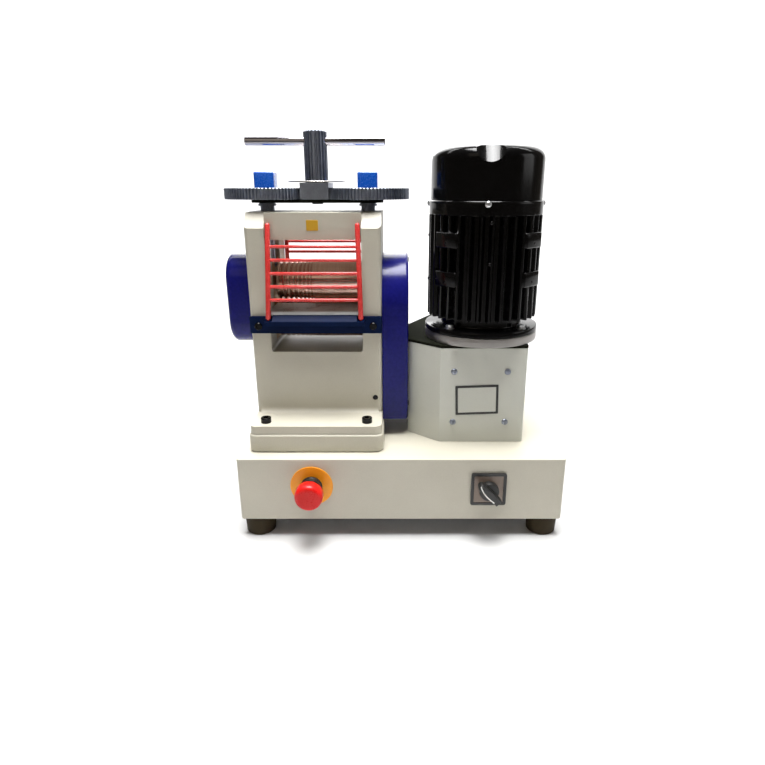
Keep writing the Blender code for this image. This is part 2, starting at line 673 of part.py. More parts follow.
def base(looks):
    """The sheet steel cabinet, its bottom plate, its feet and the mains gland."""
    half = (CABINET_WIDTH / 2, CABINET_DEPTH / 2)
    outer = rounded((-half[0], -half[1]), half, CABINET_CORNER)
    cabinet = piece("base_cabinet", prism(outer, FOOT_HEIGHT, CABINET_TOP), looks["paint"])
    inner_half = (half[0] - CABINET_SHEET, half[1] - CABINET_SHEET)
    inner = rounded((-inner_half[0], -inner_half[1]), inner_half, CABINET_CORNER - CABINET_SHEET)
    cut(cabinet, prism(inner, FOOT_HEIGHT - OVERRUN, CABINET_TOP - CABINET_SHEET))
    holes = []
    front = (CABINET_FRONT - OVERRUN, CABINET_FRONT + CABINET_SHEET + OVERRUN)
    rear = (half[1] - CABINET_SHEET - OVERRUN, half[1] + OVERRUN)
    holes.append(rod(ESTOP_PANEL_HOLE, *front, axis="Y", centre=(ESTOP_X, 0, ESTOP_HEIGHT)))
    holes.append(rod(SWITCH_PANEL_HOLE, *front, axis="Y", centre=(SWITCH_X, 0, SWITCH_HEIGHT)))
    holes.append(rod(GLAND_THREAD + GAP, *rear, axis="Y", centre=(GLAND_X, 0, GLAND_HEIGHT)))
    cut(cabinet, *holes)

    plate_half = (inner_half[0] - GAP, inner_half[1] - GAP)
    plate = rounded((-plate_half[0], -plate_half[1]), plate_half, CABINET_CORNER)
    plate_low = FOOT_HEIGHT + GAP
    piece("base_bottom_plate", prism(plate, plate_low, plate_low + CABINET_SHEET), looks["zinc"])

    profile = [(0, FOOT_POCKET_DEPTH), (FOOT_POCKET, FOOT_POCKET_DEPTH), (FOOT_POCKET, 0)]
    profile += [(FOOT_RADIUS - FOOT_TAPER, 0), (FOOT_RADIUS, FOOT_HEIGHT), (0, FOOT_HEIGHT)]
    names = ("front_left", "rear_left", "front_right", "rear_right")
    for name, (x, y) in zip(names, corners_of(FOOT_X, FOOT_Y)):
        piece(f"{name}_foot", turned(profile, ROUND_STEPS, centre=(x, y, 0)), looks["rubber"])

    outside = half[1] + GAP
    profile = [(GLAND_BORE, half[1] - GLAND_LENGTH / 2), (GLAND_THREAD, half[1] - GLAND_LENGTH / 2)]
    profile += [(GLAND_THREAD, outside), (GLAND_RADIUS, outside), (GLAND_RADIUS, outside + GLAND_FLANGE)]
    profile += [(GLAND_CAP_RADIUS, outside + GLAND_FLANGE), (GLAND_CAP_RADIUS, outside + GLAND_LENGTH)]
    profile += [(GLAND_BORE, outside + GLAND_LENGTH)]
    piece("mains_gland", turned(profile, SMALL_STEPS, "Y", (GLAND_X, 0, GLAND_HEIGHT)), looks["black"])


def emergency_stop(looks):
    """The mushroom button on its disc, with the stem that pushes on the contact block."""
    place = (ESTOP_X, 0, ESTOP_HEIGHT)
    disc_back = CABINET_FRONT - GAP
    disc_front = disc_back - ESTOP_DISC_THICKNESS
    disc = ring(ESTOP_BARREL_RADIUS + GAP, ESTOP_DISC_RADIUS, disc_front, disc_back, "Y", place, LARGE_STEPS)
    piece("estop_disc", disc, looks["yellow"])
    bore = ESTOP_STEM_RADIUS + RUNNING
    collar_back = disc_front - GAP
    collar_front = collar_back - ESTOP_COLLAR_DEPTH
    barrel_end = CABINET_FRONT + ESTOP_BARREL_LENGTH
    profile = [(bore, collar_front), (ESTOP_COLLAR_RADIUS, collar_front), (ESTOP_COLLAR_RADIUS, collar_back)]
    profile += [(ESTOP_BARREL_RADIUS, collar_back), (ESTOP_BARREL_RADIUS, barrel_end), (bore, barrel_end)]
    piece("estop_collar", turned(profile, ROUND_STEPS, "Y", place), looks["black"])
    stem_end = barrel_end + ESTOP_TRAVEL
    stem_front = ESTOP_HEAD_BACK - ESTOP_HEAD_POCKET + GAP
    stem = rod(ESTOP_STEM_RADIUS, stem_front, stem_end, "Y", place, SMALL_STEPS)
    piece("estop_stem", stem, looks["black"], place)
    pocket_end = ESTOP_HEAD_BACK - ESTOP_HEAD_POCKET
    rim = ESTOP_HEAD_BACK - ESTOP_HEAD_RIM / 2
    profile = [(0, pocket_end), (bore, pocket_end), (bore, ESTOP_HEAD_BACK), (ESTOP_HEAD_FACE, ESTOP_HEAD_BACK)]
    profile += [(ESTOP_HEAD_RADIUS, rim), (ESTOP_HEAD_RADIUS, rim - ESTOP_HEAD_RIM)]
    profile += [(ESTOP_HEAD_FACE, ESTOP_FACE), (0, ESTOP_FACE)]
    piece("estop_button", turned(profile, ROUND_STEPS, "Y", place), looks["button"], place)


def selector_switch(looks):
    """The square plate, the turning knob with its lever and shaft, and both contact blocks inside."""
    centre = (SWITCH_X, SWITCH_HEIGHT)
    hole = [circle(SWITCH_SHAFT_RADIUS + RUNNING, SMALL_STEPS, centre)]
    half = SWITCH_PLATE / 2
    low, high = (centre[0] - half, centre[1] - half), (centre[0] + half, centre[1] + half)
    back = CABINET_FRONT - GAP
    front = back - SWITCH_PLATE_THICKNESS
    plate = prism(rounded(low, high, SWITCH_PLATE_CORNER), front, back, "Y", hole)
    piece("switch_plate", plate, looks["plate"])

    place = (SWITCH_X, 0, SWITCH_HEIGHT)
    knob_back = front - GAP
    knob_front = knob_back - SWITCH_KNOB_DEPTH
    block_front = CABINET_FRONT + CABINET_SHEET + GAP
    block_back = block_front + SWITCH_BLOCK_DEPTH
    knob = rod(SWITCH_KNOB_RADIUS, knob_front, knob_back, "Y", place)
    knob = piece("switch_knob", knob, looks["black"], place)
    side, reach = SWITCH_LEVER_WIDTH / 2, SWITCH_LEVER_REACH
    lever = [(-SWITCH_LEVER_BACK, -side), (reach - side, -side), (reach, -side / 2)]
    lever += [(reach, side / 2), (reach - side, side), (-SWITCH_LEVER_BACK, side)]
    turn = math.radians(SWITCH_LEVER_ANGLE)
    lever = [(u * math.cos(turn) - v * math.sin(turn), u * math.sin(turn) + v * math.cos(turn)) for u, v in lever]
    lever = prism(moved(lever, centre), knob_front - SWITCH_LEVER_DEPTH, knob_front + SWITCH_KNOB_DEPTH / 2, "Y")
    shaft = rod(SWITCH_SHAFT_RADIUS, knob_back - OVERRUN, block_back, "Y", place, SMALL_STEPS)
    join(knob, lever, shaft)

    half = SWITCH_BLOCK / 2
    low, high = (centre[0] - half, centre[1] - half), (centre[0] + half, centre[1] + half)
    piece("switch_body", prism(rectangle(low, high), block_front, block_back, "Y", hole), looks["black"])
    barrel_end = CABINET_FRONT + ESTOP_BARREL_LENGTH
    stop_front = barrel_end + GAP
    low = (ESTOP_X - ESTOP_BLOCK_WIDTH / 2, stop_front, ESTOP_HEIGHT - ESTOP_BLOCK_HEIGHT / 2)
    high = (ESTOP_X + ESTOP_BLOCK_WIDTH / 2, stop_front + ESTOP_BLOCK_DEPTH, ESTOP_HEIGHT + ESTOP_BLOCK_HEIGHT / 2)
    contact = piece("estop_contact_block", box(low, high), looks["black"])
    bore_end = barrel_end + ESTOP_BLOCK_BORE
    cut(contact, rod(ESTOP_STEM_RADIUS + RUNNING, stop_front - OVERRUN, bore_end, "Y", (ESTOP_X, 0, ESTOP_HEIGHT)))


def head(looks):
    """The plinth and the cast frame with its window, block slots and screw bores."""
    half = (PLINTH_WIDTH / 2, PLINTH_DEPTH / 2)
    outline = rounded((HEAD_X - half[0], -half[1]), (HEAD_X + half[0], half[1]), PLINTH_CORNER)
    piece("mill_plinth", prism(outline, PLINTH_LOW, PLINTH_LOW + PLINTH_HEIGHT), looks["paint"])

    foot = FRAME_FOOT_DEPTH / 2
    left, right = HEAD_X - FRAME_SIDE, HEAD_X + FRAME_SIDE
    slab = prism(rounded((left, -foot), (right, foot), FRAME_FOOT_CORNER), FRAME_LOW, FRAME_FOOT_TOP)
    frame = piece("mill_frame", slab, looks["paint"])
    body = rounded((left, -FRAME_FRONT), (right, FRAME_FRONT), FRAME_CORNER)
    flare = FRAME_FRONT + FRAME_FILLET
    fillet = [(flare, FRAME_FOOT_TOP - OVERRUN)]
    fillet += arc(FRAME_FILLET, (flare, FRAME_FOOT_TOP + FRAME_FILLET), 270, 180)
    fillet += [(-FRAME_FRONT, FRAME_FOOT_TOP + FRAME_FILLET)]
    fillet += arc(FRAME_FILLET, (-flare, FRAME_FOOT_TOP + FRAME_FILLET), 0, -90)[1:]
    fillet += [(-flare, FRAME_FOOT_TOP - OVERRUN)]
    flared = prism(fillet, left + FRAME_CORNER, right - FRAME_CORNER, "X")
    join(frame, prism(body, FRAME_LOW + OVERRUN, FRAME_TOP), flared)

    window = arc(WINDOW_CORNER, (HEAD_X - WINDOW_WIDTH / 2 + WINDOW_CORNER, WINDOW_LOW + WINDOW_CORNER), 180, 270)
    window += arc(WINDOW_CORNER, (HEAD_X + WINDOW_WIDTH / 2 - WINDOW_CORNER, WINDOW_LOW + WINDOW_CORNER), 270, 360)
    window += [(HEAD_X + WINDOW_WIDTH / 2, WINDOW_TOP), (HEAD_X - WINDOW_WIDTH / 2, WINDOW_TOP)]
    past = FRAME_FRONT + OVERRUN
    cut(frame, prism(window, -past, past, "Y"))
    face = FRAME_FRONT - CROSSPIECE_RECESS
    recess_low = WINDOW_TOP - OVERRUN
    window_sides = (HEAD_X - WINDOW_WIDTH / 2, HEAD_X + WINDOW_WIDTH / 2)
    recesses = []
    for near, far in ((-past, -face), (face, past)):
        recesses.append(box((window_sides[0], near, recess_low), (window_sides[1], far, FRAME_TOP + OVERRUN)))
    cut(frame, *recesses)
    chamfers = []
    ledge = FRAME_TOP_CHAMFER + OVERRUN
    for side in (-1, 1):
        wedge = [(side * (FRAME_FRONT - ledge), FRAME_TOP + OVERRUN), (side * past, FRAME_TOP + OVERRUN)]
        wedge += [(side * past, FRAME_TOP - ledge)]
        chamfers.append(prism(wedge, left - OVERRUN, window_sides[0], "X"))
        chamfers.append(prism(wedge, window_sides[1], right + OVERRUN, "X"))
    cut(frame, *chamfers)

    slot_half = BLOCK_DEPTH / 2 + GAP
    slot_low = LOWER_AXIS - BLOCK_HALF_HEIGHT - GAP
    slot_top = WINDOW_TOP - OVERRUN
    slots, necks, bores = [], [], []
    for side in (-1, 1):
        inner = WINDOW_WIDTH / 2 - OVERRUN
        outer = WINDOW_WIDTH / 2 + BLOCK_SLOT
        xs = sorted((HEAD_X + side * inner, HEAD_X + side * outer))
        slots.append(box((xs[0], -slot_half, slot_low), (xs[1], slot_half, slot_top)))
        radius = NECK_RADIUS + NECK_CLEARANCE
        outline = arc(radius, (0, UPPER_AXIS + OPENING_TRAVEL), 0, 180, HALF_ROUND_STEPS)
        outline += arc(radius, (0, LOWER_AXIS), 180, 360, HALF_ROUND_STEPS)
        xs = sorted((HEAD_X + side * (outer - OVERRUN), HEAD_X + side * (FRAME_SIDE + OVERRUN)))
        necks.append(prism(outline, *xs, "X"))
        place = (HEAD_X + side * SCREW_X, 0, 0)
        bores.append(rod(SCREW_RADIUS + RUNNING, slot_top - OVERRUN, FRAME_TOP + OVERRUN, centre=place))
    cut(frame, *slots)
    cut(frame, *necks, *bores)


def roll_shape(left_end, right_end, axis_z):
    """A roll with its necks: wire grooves on the left half of the face, and a flat right half."""
    face = ROLL_FACE / 2
    profile = [(0, -left_end), (GEAR_SEAT_RADIUS, -left_end), (GEAR_SEAT_RADIUS, GAP - ROLL_GEAR_LEFT)]
    profile += [(NECK_RADIUS, GAP - ROLL_GEAR_LEFT), (NECK_RADIUS, -face), (ROLL_RADIUS - ROLL_EDGE, -face)]
    profile += [(ROLL_RADIUS, ROLL_EDGE - face)]
    place = GROOVE_START - face
    for groove in range(GROOVE_COUNT):
        share = groove / (GROOVE_COUNT - 1)
        width = GROOVE_WIDEST + (GROOVE_NARROWEST - GROOVE_WIDEST) * share
        depth = width / 2 / math.tan(math.radians(GROOVE_HALF_ANGLE))
        profile += [(ROLL_RADIUS, place), (ROLL_RADIUS - depth, place + width / 2), (ROLL_RADIUS, place + width)]
        place += width + GROOVE_LAND
    profile += [(ROLL_RADIUS, face - ROLL_EDGE), (ROLL_RADIUS - ROLL_EDGE, face), (NECK_RADIUS, face)]
    if right_end > DRIVE_LEFT:
        profile += [(NECK_RADIUS, DRIVE_LEFT - GAP), (GEAR_SEAT_RADIUS, DRIVE_LEFT - GAP)]
        profile += [(GEAR_SEAT_RADIUS, right_end), (0, right_end)]
    else:
        profile += [(NECK_RADIUS, right_end), (0, right_end)]
    return turned(profile, ROUND_STEPS, "X", (HEAD_X, 0, axis_z))


def rolls(looks):
    """Both rolls, their sliding bearing blocks, and the gears on their necks."""
    left_end = ROLL_GEAR_LEFT + ROLL_GEAR_WIDTH + NECK_END
    right_end = DRIVE_LEFT + ROLL_GEAR_WIDTH + NECK_END
    short_end = BLOCK_INNER + BLOCK_THICKNESS + NECK_END
    lower, upper = (HEAD_X, 0, LOWER_AXIS), (HEAD_X, 0, UPPER_AXIS)
    piece("lower_roll", roll_shape(left_end, right_end, LOWER_AXIS), looks["polished"], lower)
    piece("upper_roll", roll_shape(left_end, short_end, UPPER_AXIS), looks["polished"], upper)

    inner, outer = BLOCK_INNER, BLOCK_INNER + BLOCK_THICKNESS
    for name, side in (("left", -1), ("right", 1)):
        xs = sorted((HEAD_X + side * inner, HEAD_X + side * outer))
        for level, axis_z in (("lower", LOWER_AXIS), ("upper", UPPER_AXIS)):
            low = (-BLOCK_DEPTH / 2, axis_z - BLOCK_HALF_HEIGHT)
            high = (BLOCK_DEPTH / 2, axis_z + BLOCK_HALF_HEIGHT)
            hole = [circle(NECK_RADIUS + RUNNING, ROUND_STEPS, (0, axis_z))]
            shape = prism(rectangle(low, high), *xs, "X", hole)
            block = piece(f"{level}_{name}_bearing_block", shape, looks["bronze"])
            if level == "upper":
                slots = []
                ends = (side * (inner - OVERRUN), side * (SCREW_X + BUTTON_RADIUS + GAP))
                for half, bottom, top in ((NOSE_RADIUS + RUNNING, BUTTON_TOP, BLOCK_TOP + OVERRUN),
                                          (BUTTON_RADIUS + RUNNING, BUTTON_LOW - GAP, BUTTON_TOP + GAP)):
                    slot = sorted(HEAD_X + end for end in ends)
                    slots.append(box((slot[0], -half, bottom), (slot[1], half, top)))
                for slot in slots:
                    cut(block, slot)

    half_tooth = math.pi / ROLL_GEAR_TEETH
    near = HEAD_X - ROLL_GEAR_LEFT
    sides = (near - ROLL_GEAR_WIDTH, near)
    for name, place, turn in (("lower", lower, math.pi / 2), ("upper", upper, half_tooth - math.pi / 2)):
        outline = gear(ROLL_GEAR_TEETH, ROLL_GEAR_MODULE, turn, ROLL_GEAR_ADDENDUM, ROLL_GEAR_DEDENDUM)
        hole = [circle(GEAR_SEAT_RADIUS + GAP, ROUND_STEPS, place[1:])]
        shape = prism(moved(outline, place[1:]), *sides, "X", hole)
        piece(f"{name}_roll_gear", shape, looks["gear_steel"], place)


def final_drive(looks):
    """The drive gear on the lower roll, its pinion and the gearbox's output shaft with the worm wheel."""
    sides = (HEAD_X + DRIVE_LEFT, HEAD_X + DRIVE_LEFT + ROLL_GEAR_WIDTH)
    lower = (HEAD_X, 0, LOWER_AXIS)
    output = (MOTOR_X, OUTPUT_Y, OUTPUT_Z)
    toward = math.atan2(OUTPUT_Z - LOWER_AXIS, OUTPUT_Y)
    hole = [circle(GEAR_SEAT_RADIUS + GAP, ROUND_STEPS, lower[1:])]
    outline = moved(gear(DRIVE_TEETH, DRIVE_MODULE, toward), lower[1:])
    piece("drive_gear", prism(outline, *sides, "X", hole), looks["gear_steel"], lower)
    hole = [circle(OUTPUT_SHAFT_RADIUS + GAP, ROUND_STEPS, output[1:])]
    turn = toward + math.pi + math.pi / DRIVE_PINION_TEETH
    outline = moved(gear(DRIVE_PINION_TEETH, DRIVE_MODULE, turn), output[1:])
    ends = (sides[0] - NECK_END, MOTOR_X + HOUSING_RIGHT)
    shaft = rod(OUTPUT_SHAFT_RADIUS, *ends, "X", (0, *output[1:]))
    shaft = piece("pinion_shaft", shaft, looks["gear_steel"], output)
    join(shaft, prism(outline, *sides, "X"))

    root, tip = WHEEL_RADIUS - WORM_DEDENDUM, WHEEL_RADIUS + WORM_ADDENDUM
    turn = math.pi + math.pi / WHEEL_TEETH
    outline = moved(toothed(WHEEL_TEETH, root, tip, TOOTH_ROOT_SHARE, TOOTH_TIP_SHARE, turn), output[1:])
    twist = WHEEL_WIDTH / 2 / (WHEEL_TEETH * WORM_RADIUS)
    sides = (MOTOR_X - WHEEL_WIDTH / 2, MOTOR_X + WHEEL_WIDTH / 2)
    wheel = prism(outline, *sides, "X", hole, twist, output[1:])
    piece("worm_wheel", wheel, looks["bronze"], output)


def worm_shape():
    """A one start, right handed worm: rows of points round the thread's section, climbing one lead a turn."""
    tip, core = WORM_RADIUS + WORM_ADDENDUM, WORM_RADIUS - WORM_DEDENDUM
    section = ((-WORM_ROOT_SHARE, core), (-WORM_TIP_SHARE, tip), (WORM_TIP_SHARE, tip), (WORM_ROOT_SHARE, core))
    rows = [(thread + share, radius) for thread in range(WORM_TURNS) for share, radius in section]
    shape = bmesh.new()
    columns = []
    for step in range(WORM_STEPS):
        angle = 2 * math.pi * step / WORM_STEPS
        x, y = math.cos(angle), math.sin(angle)
        column = []
        for share, radius in rows:
            height = WORM_START + WORM_LEAD * (share + step / WORM_STEPS)
            column.append(shape.verts.new((MOTOR_X + radius * x, MOTOR_Y + radius * y, height)))
        columns.append(column)
    seam = columns[0][len(section):]
    for column, following in zip(columns, columns[1:] + [seam]):
        for row in range(len(following) - 1):
            shape.faces.new((column[row], following[row], following[row + 1], column[row + 1]))
    low = shape.verts.new((MOTOR_X, MOTOR_Y, WORM_LOW))
    high = shape.verts.new((MOTOR_X, MOTOR_Y, WORM_HIGH))
    under = [column[0] for column in columns] + columns[0][len(section)::-1]
    over = [column[-1] for column in columns] + columns[-1][-2:-len(section) - 2:-1] + [columns[0][-1]]
    for cap, loop in ((low, under), (high, over)):
        for first, second in zip(loop, loop[1:]):
            shape.faces.new((cap, first, second))
    bmesh.ops.recalc_face_normals(shape, faces=shape.faces)
    return shape


def gearbox(looks):
    """The worm gearbox: its housing, the worm, and the painted cover round it."""
    left, right = MOTOR_X - HOUSING_LEFT, MOTOR_X + HOUSING_RIGHT
    wall = HOUSING_WALL
    worm = piece("worm", worm_shape(), looks["gear_steel"], (MOTOR_X, MOTOR_Y, OUTPUT_Z))
    cut(worm, rod(WORM_BORE, WORM_LOW + WORM_END_WALL, WORM_HIGH + OVERRUN, centre=(MOTOR_X, MOTOR_Y, 0)))

    shell = box((left, -HOUSING_FRONT, HOUSING_LOW), (right, HOUSING_BACK, HOUSING_HIGH))
    housing = piece("gearbox_housing", shell, looks["cast"])
    foot = HOUSING_FOOT
    low = (left - foot, -HOUSING_FRONT - foot, HOUSING_LOW)
    flange = box(low, (right + foot, HOUSING_BACK + foot, HOUSING_LOW + HOUSING_FOOT_HEIGHT))
    join(housing, flange)
    lug_front = -GEARBOX_FRONT + GEARBOX_SHEET + GAP
    half = HOUSING_LUG / 2
    lugs = []
    for x, z in gearbox_screw_places():
        lugs.append(box((x - half, lug_front, z - half), (x + half, OVERRUN - HOUSING_FRONT, z + half)))
    join(housing, gather(*lugs))
    low = (left + wall, wall - HOUSING_FRONT, HOUSING_LOW - OVERRUN)
    cut(housing, box(low, (right - wall, HOUSING_BACK - wall, HOUSING_HIGH - wall)))
    output = (0, OUTPUT_Y, OUTPUT_Z)
    cut(housing, rod(OUTPUT_SHAFT_RADIUS + RUNNING, left - OVERRUN, right + OVERRUN, "X", output))
    above = (HOUSING_HIGH - wall - OVERRUN, HOUSING_HIGH + OVERRUN)
    cut(housing, rod(SHAFT_RADIUS + RUNNING, *above, centre=(MOTOR_X, MOTOR_Y, 0)))

    outline = gearbox_outline()
    low, high = CABINET_TOP + GEARBOX_GROUND, HOUSING_HIGH
    cover = prism(outline, low, high, holes=[inset(outline, GEARBOX_SHEET)])
    cover = piece("gearbox_cover", cover, looks["paint"])
    tabs = []
    near, half = GEARBOX_TAB_SINK, GEARBOX_TAB / 2
    for x in (GEARBOX_SCREW_LEFT, GEARBOX_SCREW_RIGHT):
        for front, back in ((near - GEARBOX_FRONT, HOUSING_LUG / 2 - GEARBOX_FRONT),
                            (GEARBOX_BACK - HOUSING_LUG / 2, GEARBOX_BACK - near)):
            tabs.append(box((x - half, front, HOUSING_LOW), (x + half, back, low + half)))
    join(cover, gather(*tabs))
    wall_ends = (GEARBOX_LEFT - OVERRUN, GEARBOX_LEFT + GEARBOX_SHEET + OVERRUN)
    cut(cover, rod(OUTPUT_SHAFT_RADIUS + COVER_SHAFT_CLEARANCE, *wall_ends, "X", output))


def gearbox_outline():
    """The gearbox cover seen from above: a rectangle whose two left corners are cut off."""
    points = [(GEARBOX_LEFT, GEARBOX_FRONT_CUT_Y - GEARBOX_FRONT)]
    points += [(GEARBOX_LEFT + GEARBOX_FRONT_CUT_X, -GEARBOX_FRONT), (GEARBOX_RIGHT, -GEARBOX_FRONT)]
    points += [(GEARBOX_RIGHT, GEARBOX_BACK), (GEARBOX_LEFT + GEARBOX_BACK_CUT_X, GEARBOX_BACK)]
    return points + [(GEARBOX_LEFT, GEARBOX_BACK - GEARBOX_BACK_CUT_Y)]


def gearbox_screw_places():
    """Where the screws sit in the front of the gearbox cover, in X and Z."""
    levels = (CABINET_TOP + GEARBOX_SCREW_LOW, CABINET_TOP + GEARBOX_SCREW_HIGH)
    return [(x, z) for x in (GEARBOX_SCREW_LEFT, GEARBOX_SCREW_RIGHT) for z in levels]


def gear_covers(looks):
    """The blue covers over the roll gears and over the drive gears."""
    top, bottom = LEFT_COVER_TOP - LEFT_COVER_RADIUS, LEFT_COVER_LOW + LEFT_COVER_RADIUS
    outline = arc(LEFT_COVER_RADIUS, (0, top), 0, 180, HALF_ROUND_STEPS)
    outline += arc(LEFT_COVER_RADIUS, (0, bottom), 180, 360, HALF_ROUND_STEPS)
    near = HEAD_X - FRAME_SIDE - GAP
    left_face = near - LEFT_COVER_DEPTH
    sheet = LEFT_COVER_SHEET
    cover = piece("left_gear_cover", domed(outline, near, left_face, "X", LEFT_COVER_FILLET), looks["blue"])
    hollow = (inset(outline, sheet), near + OVERRUN, left_face + sheet)
    cut(cover, domed(*hollow, "X", LEFT_COVER_FILLET - sheet))

    half = RIGHT_COVER_RADIUS
    outline = arc(half, (0, RIGHT_COVER_TOP - half), 0, 180, ARCH_STEPS)
    outline += [(-half, FRAME_LOW), (half, FRAME_LOW)]
    near = HEAD_X + FRAME_SIDE + GAP
    right_face = near + RIGHT_COVER_DEPTH
    sheet = COVER_SHEET
    cover = piece("right_gear_cover", domed(outline, near, right_face, "X", RIGHT_COVER_FILLET), looks["blue"])
    hollow = (inset(outline, sheet), near - OVERRUN, right_face - sheet)
    cut(cover, domed(*hollow, "X", RIGHT_COVER_FILLET - sheet))
    ends = (right_face - sheet - OVERRUN, right_face + OVERRUN)
    cut(cover, rod(OUTPUT_SHAFT_RADIUS + COVER_SHAFT_CLEARANCE, *ends, "X", (0, OUTPUT_Y, OUTPUT_Z)))


def motor(looks):
    """The flanged motor that stands on the gearbox."""
    axis = (MOTOR_X, MOTOR_Y, 0)
    mouth = circle(MOTOR_PLATE_HOLE, LARGE_STEPS, axis[:2])
    plate_top = MOTOR_PLATE_LOW + MOTOR_PLATE_THICKNESS
    plate = prism(gearbox_outline(), MOTOR_PLATE_LOW, plate_top, holes=[mouth])
    piece("motor_plate", plate, looks["dark"])
    outline = circle(ADAPTER_RADIUS, LARGE_STEPS, axis[:2])
    adapter = prism(outline, ADAPTER_LOW, ADAPTER_LOW + ADAPTER_HEIGHT, holes=[mouth])
    piece("adapter_ring", adapter, looks["silver"])
    bore, neck_top = SHAFT_RADIUS + RUNNING, MOTOR_BODY_LOW - GAP
    profile = [(bore, FLANGE_LOW), (ADAPTER_RADIUS, FLANGE_LOW), (ADAPTER_RADIUS, FLANGE_TOP)]
    profile += [(FLANGE_NECK_RADIUS, FLANGE_TOP), (FLANGE_NECK_RADIUS, neck_top), (bore, neck_top)]
    piece("motor_flange", turned(profile, LARGE_STEPS, "Z", axis), looks["gloss"])

    share = (MOTOR_FIN_ROOT_SHARE, MOTOR_FIN_TIP_SHARE)
    fins = moved(toothed(MOTOR_FIN_COUNT, MOTOR_FIN_ROOT, MOTOR_RADIUS, *share), axis[:2])
    inside = circle(MOTOR_BORE, LARGE_STEPS, axis[:2])
    body = piece("motor_housing", prism(fins, MOTOR_BODY_LOW, MOTOR_BODY_TOP, holes=[inside]), looks["gloss"])
    pads = []
    for angle in (-90 - MOTOR_PAD_ANGLE, MOTOR_PAD_ANGLE - 90):
        for level in (MOTOR_PAD_LOW, MOTOR_PAD_HIGH):
            middle = MOTOR_BODY_LOW + level
            side, half = MOTOR_PAD_WIDTH / 2, MOTOR_PAD_HEIGHT / 2
            near = (MOTOR_BORE + MOTOR_FIN_ROOT) / 2
            pad = box((near, -side, middle - half), (MOTOR_PAD_REACH, side, middle + half))
            pad.transform(Matrix.Translation(axis) @ Matrix.Rotation(math.radians(angle), 4, "Z"))
            pads.append(pad)
    join(body, gather(*pads))
    ends = (MOTOR_BODY_LOW + STATOR_END, MOTOR_BODY_TOP - STATOR_END)
    piece("stator", ring(STATOR_BORE, MOTOR_BORE - GAP, *ends, centre=axis, steps=LARGE_STEPS), looks["winding"])

    bottom = WORM_LOW + WORM_END_WALL + GAP
    step = WORM_HIGH + OVERRUN
    core = (MOTOR_BODY_LOW + ROTOR_END, MOTOR_BODY_TOP - ROTOR_END)
    fan_low = SHIELD_TOP + FAN_STAND
    fan_high = fan_low + FAN_HEIGHT
    end = fan_high + FAN_STAND
    profile = [(0, bottom), (SHAFT_END_RADIUS, bottom), (SHAFT_END_RADIUS, step), (SHAFT_RADIUS, step)]
    profile += [(SHAFT_RADIUS, core[0]), (ROTOR_RADIUS, core[0]), (ROTOR_RADIUS, core[1])]
    profile += [(SHAFT_RADIUS, core[1]), (SHAFT_RADIUS, end), (0, end)]
    piece("motor_rotor", turned(profile, ROUND_STEPS, "Z", axis), looks["polished"], (MOTOR_X, MOTOR_Y, OUTPUT_Z))
    blades = toothed(FAN_BLADES, FAN_HUB, FAN_RADIUS, FAN_ROOT_SHARE, FAN_TIP_SHARE)
    fan_bore = circle(SHAFT_RADIUS + GAP, ROUND_STEPS, axis[:2])
    fan = prism(moved(blades, axis[:2]), fan_low, fan_high, holes=[fan_bore])
    piece("cooling_fan", fan, looks["black"], (MOTOR_X, MOTOR_Y, fan_low))

    spigot = COWL_RADIUS - COWL_SHEET - GAP
    rim = SHIELD_LOW + SHIELD_RIM
    profile = [(SHAFT_RADIUS + RUNNING, SHIELD_LOW), (MOTOR_RADIUS, SHIELD_LOW), (MOTOR_RADIUS, rim)]
    profile += [(spigot, rim), (spigot, SHIELD_TOP), (SHAFT_RADIUS + RUNNING, SHIELD_TOP)]
    piece("motor_end_shield", turned(profile, LARGE_STEPS, "Z", axis), looks["gloss"])

    def shoulder(sheet):
        """The cowl's side, round shoulder and top, from the rim to the axis."""
        points = [(COWL_RADIUS - sheet, COWL_LOW)]
        for step in range(CORNER_STEPS + 1):
            angle = math.pi / 2 * step / CORNER_STEPS
            radius = COWL_TOP_RADIUS + (COWL_RADIUS - COWL_TOP_RADIUS) * math.cos(angle) - sheet
            points.append((radius, COWL_TOP - COWL_SHOULDER * (1 - math.sin(angle)) - sheet))
        return points + [(0, COWL_TOP - sheet)]

    def scoops(radius):
        """The round bars that press the scoops into the cowl's shoulder."""
        bars = []
        lean = Matrix.Rotation(-math.radians(COWL_SCOOP_LEAN), 4, "Y")
        for number in range(COWL_SCOOPS):
            bar = rod(radius, -COWL_SCOOP_REACH, COWL_SCOOP_REACH)
            offset = Matrix.Translation((COWL_SCOOP_OFFSET, 0, COWL_TOP))
            angle = math.radians(COWL_SCOOP_TURN) + 2 * math.pi * number / COWL_SCOOPS
            turn = Matrix.Rotation(angle, 4, "Z")
            bar.transform(Matrix.Translation(axis) @ turn @ offset @ lean)
            bars.append(bar)
        return bars

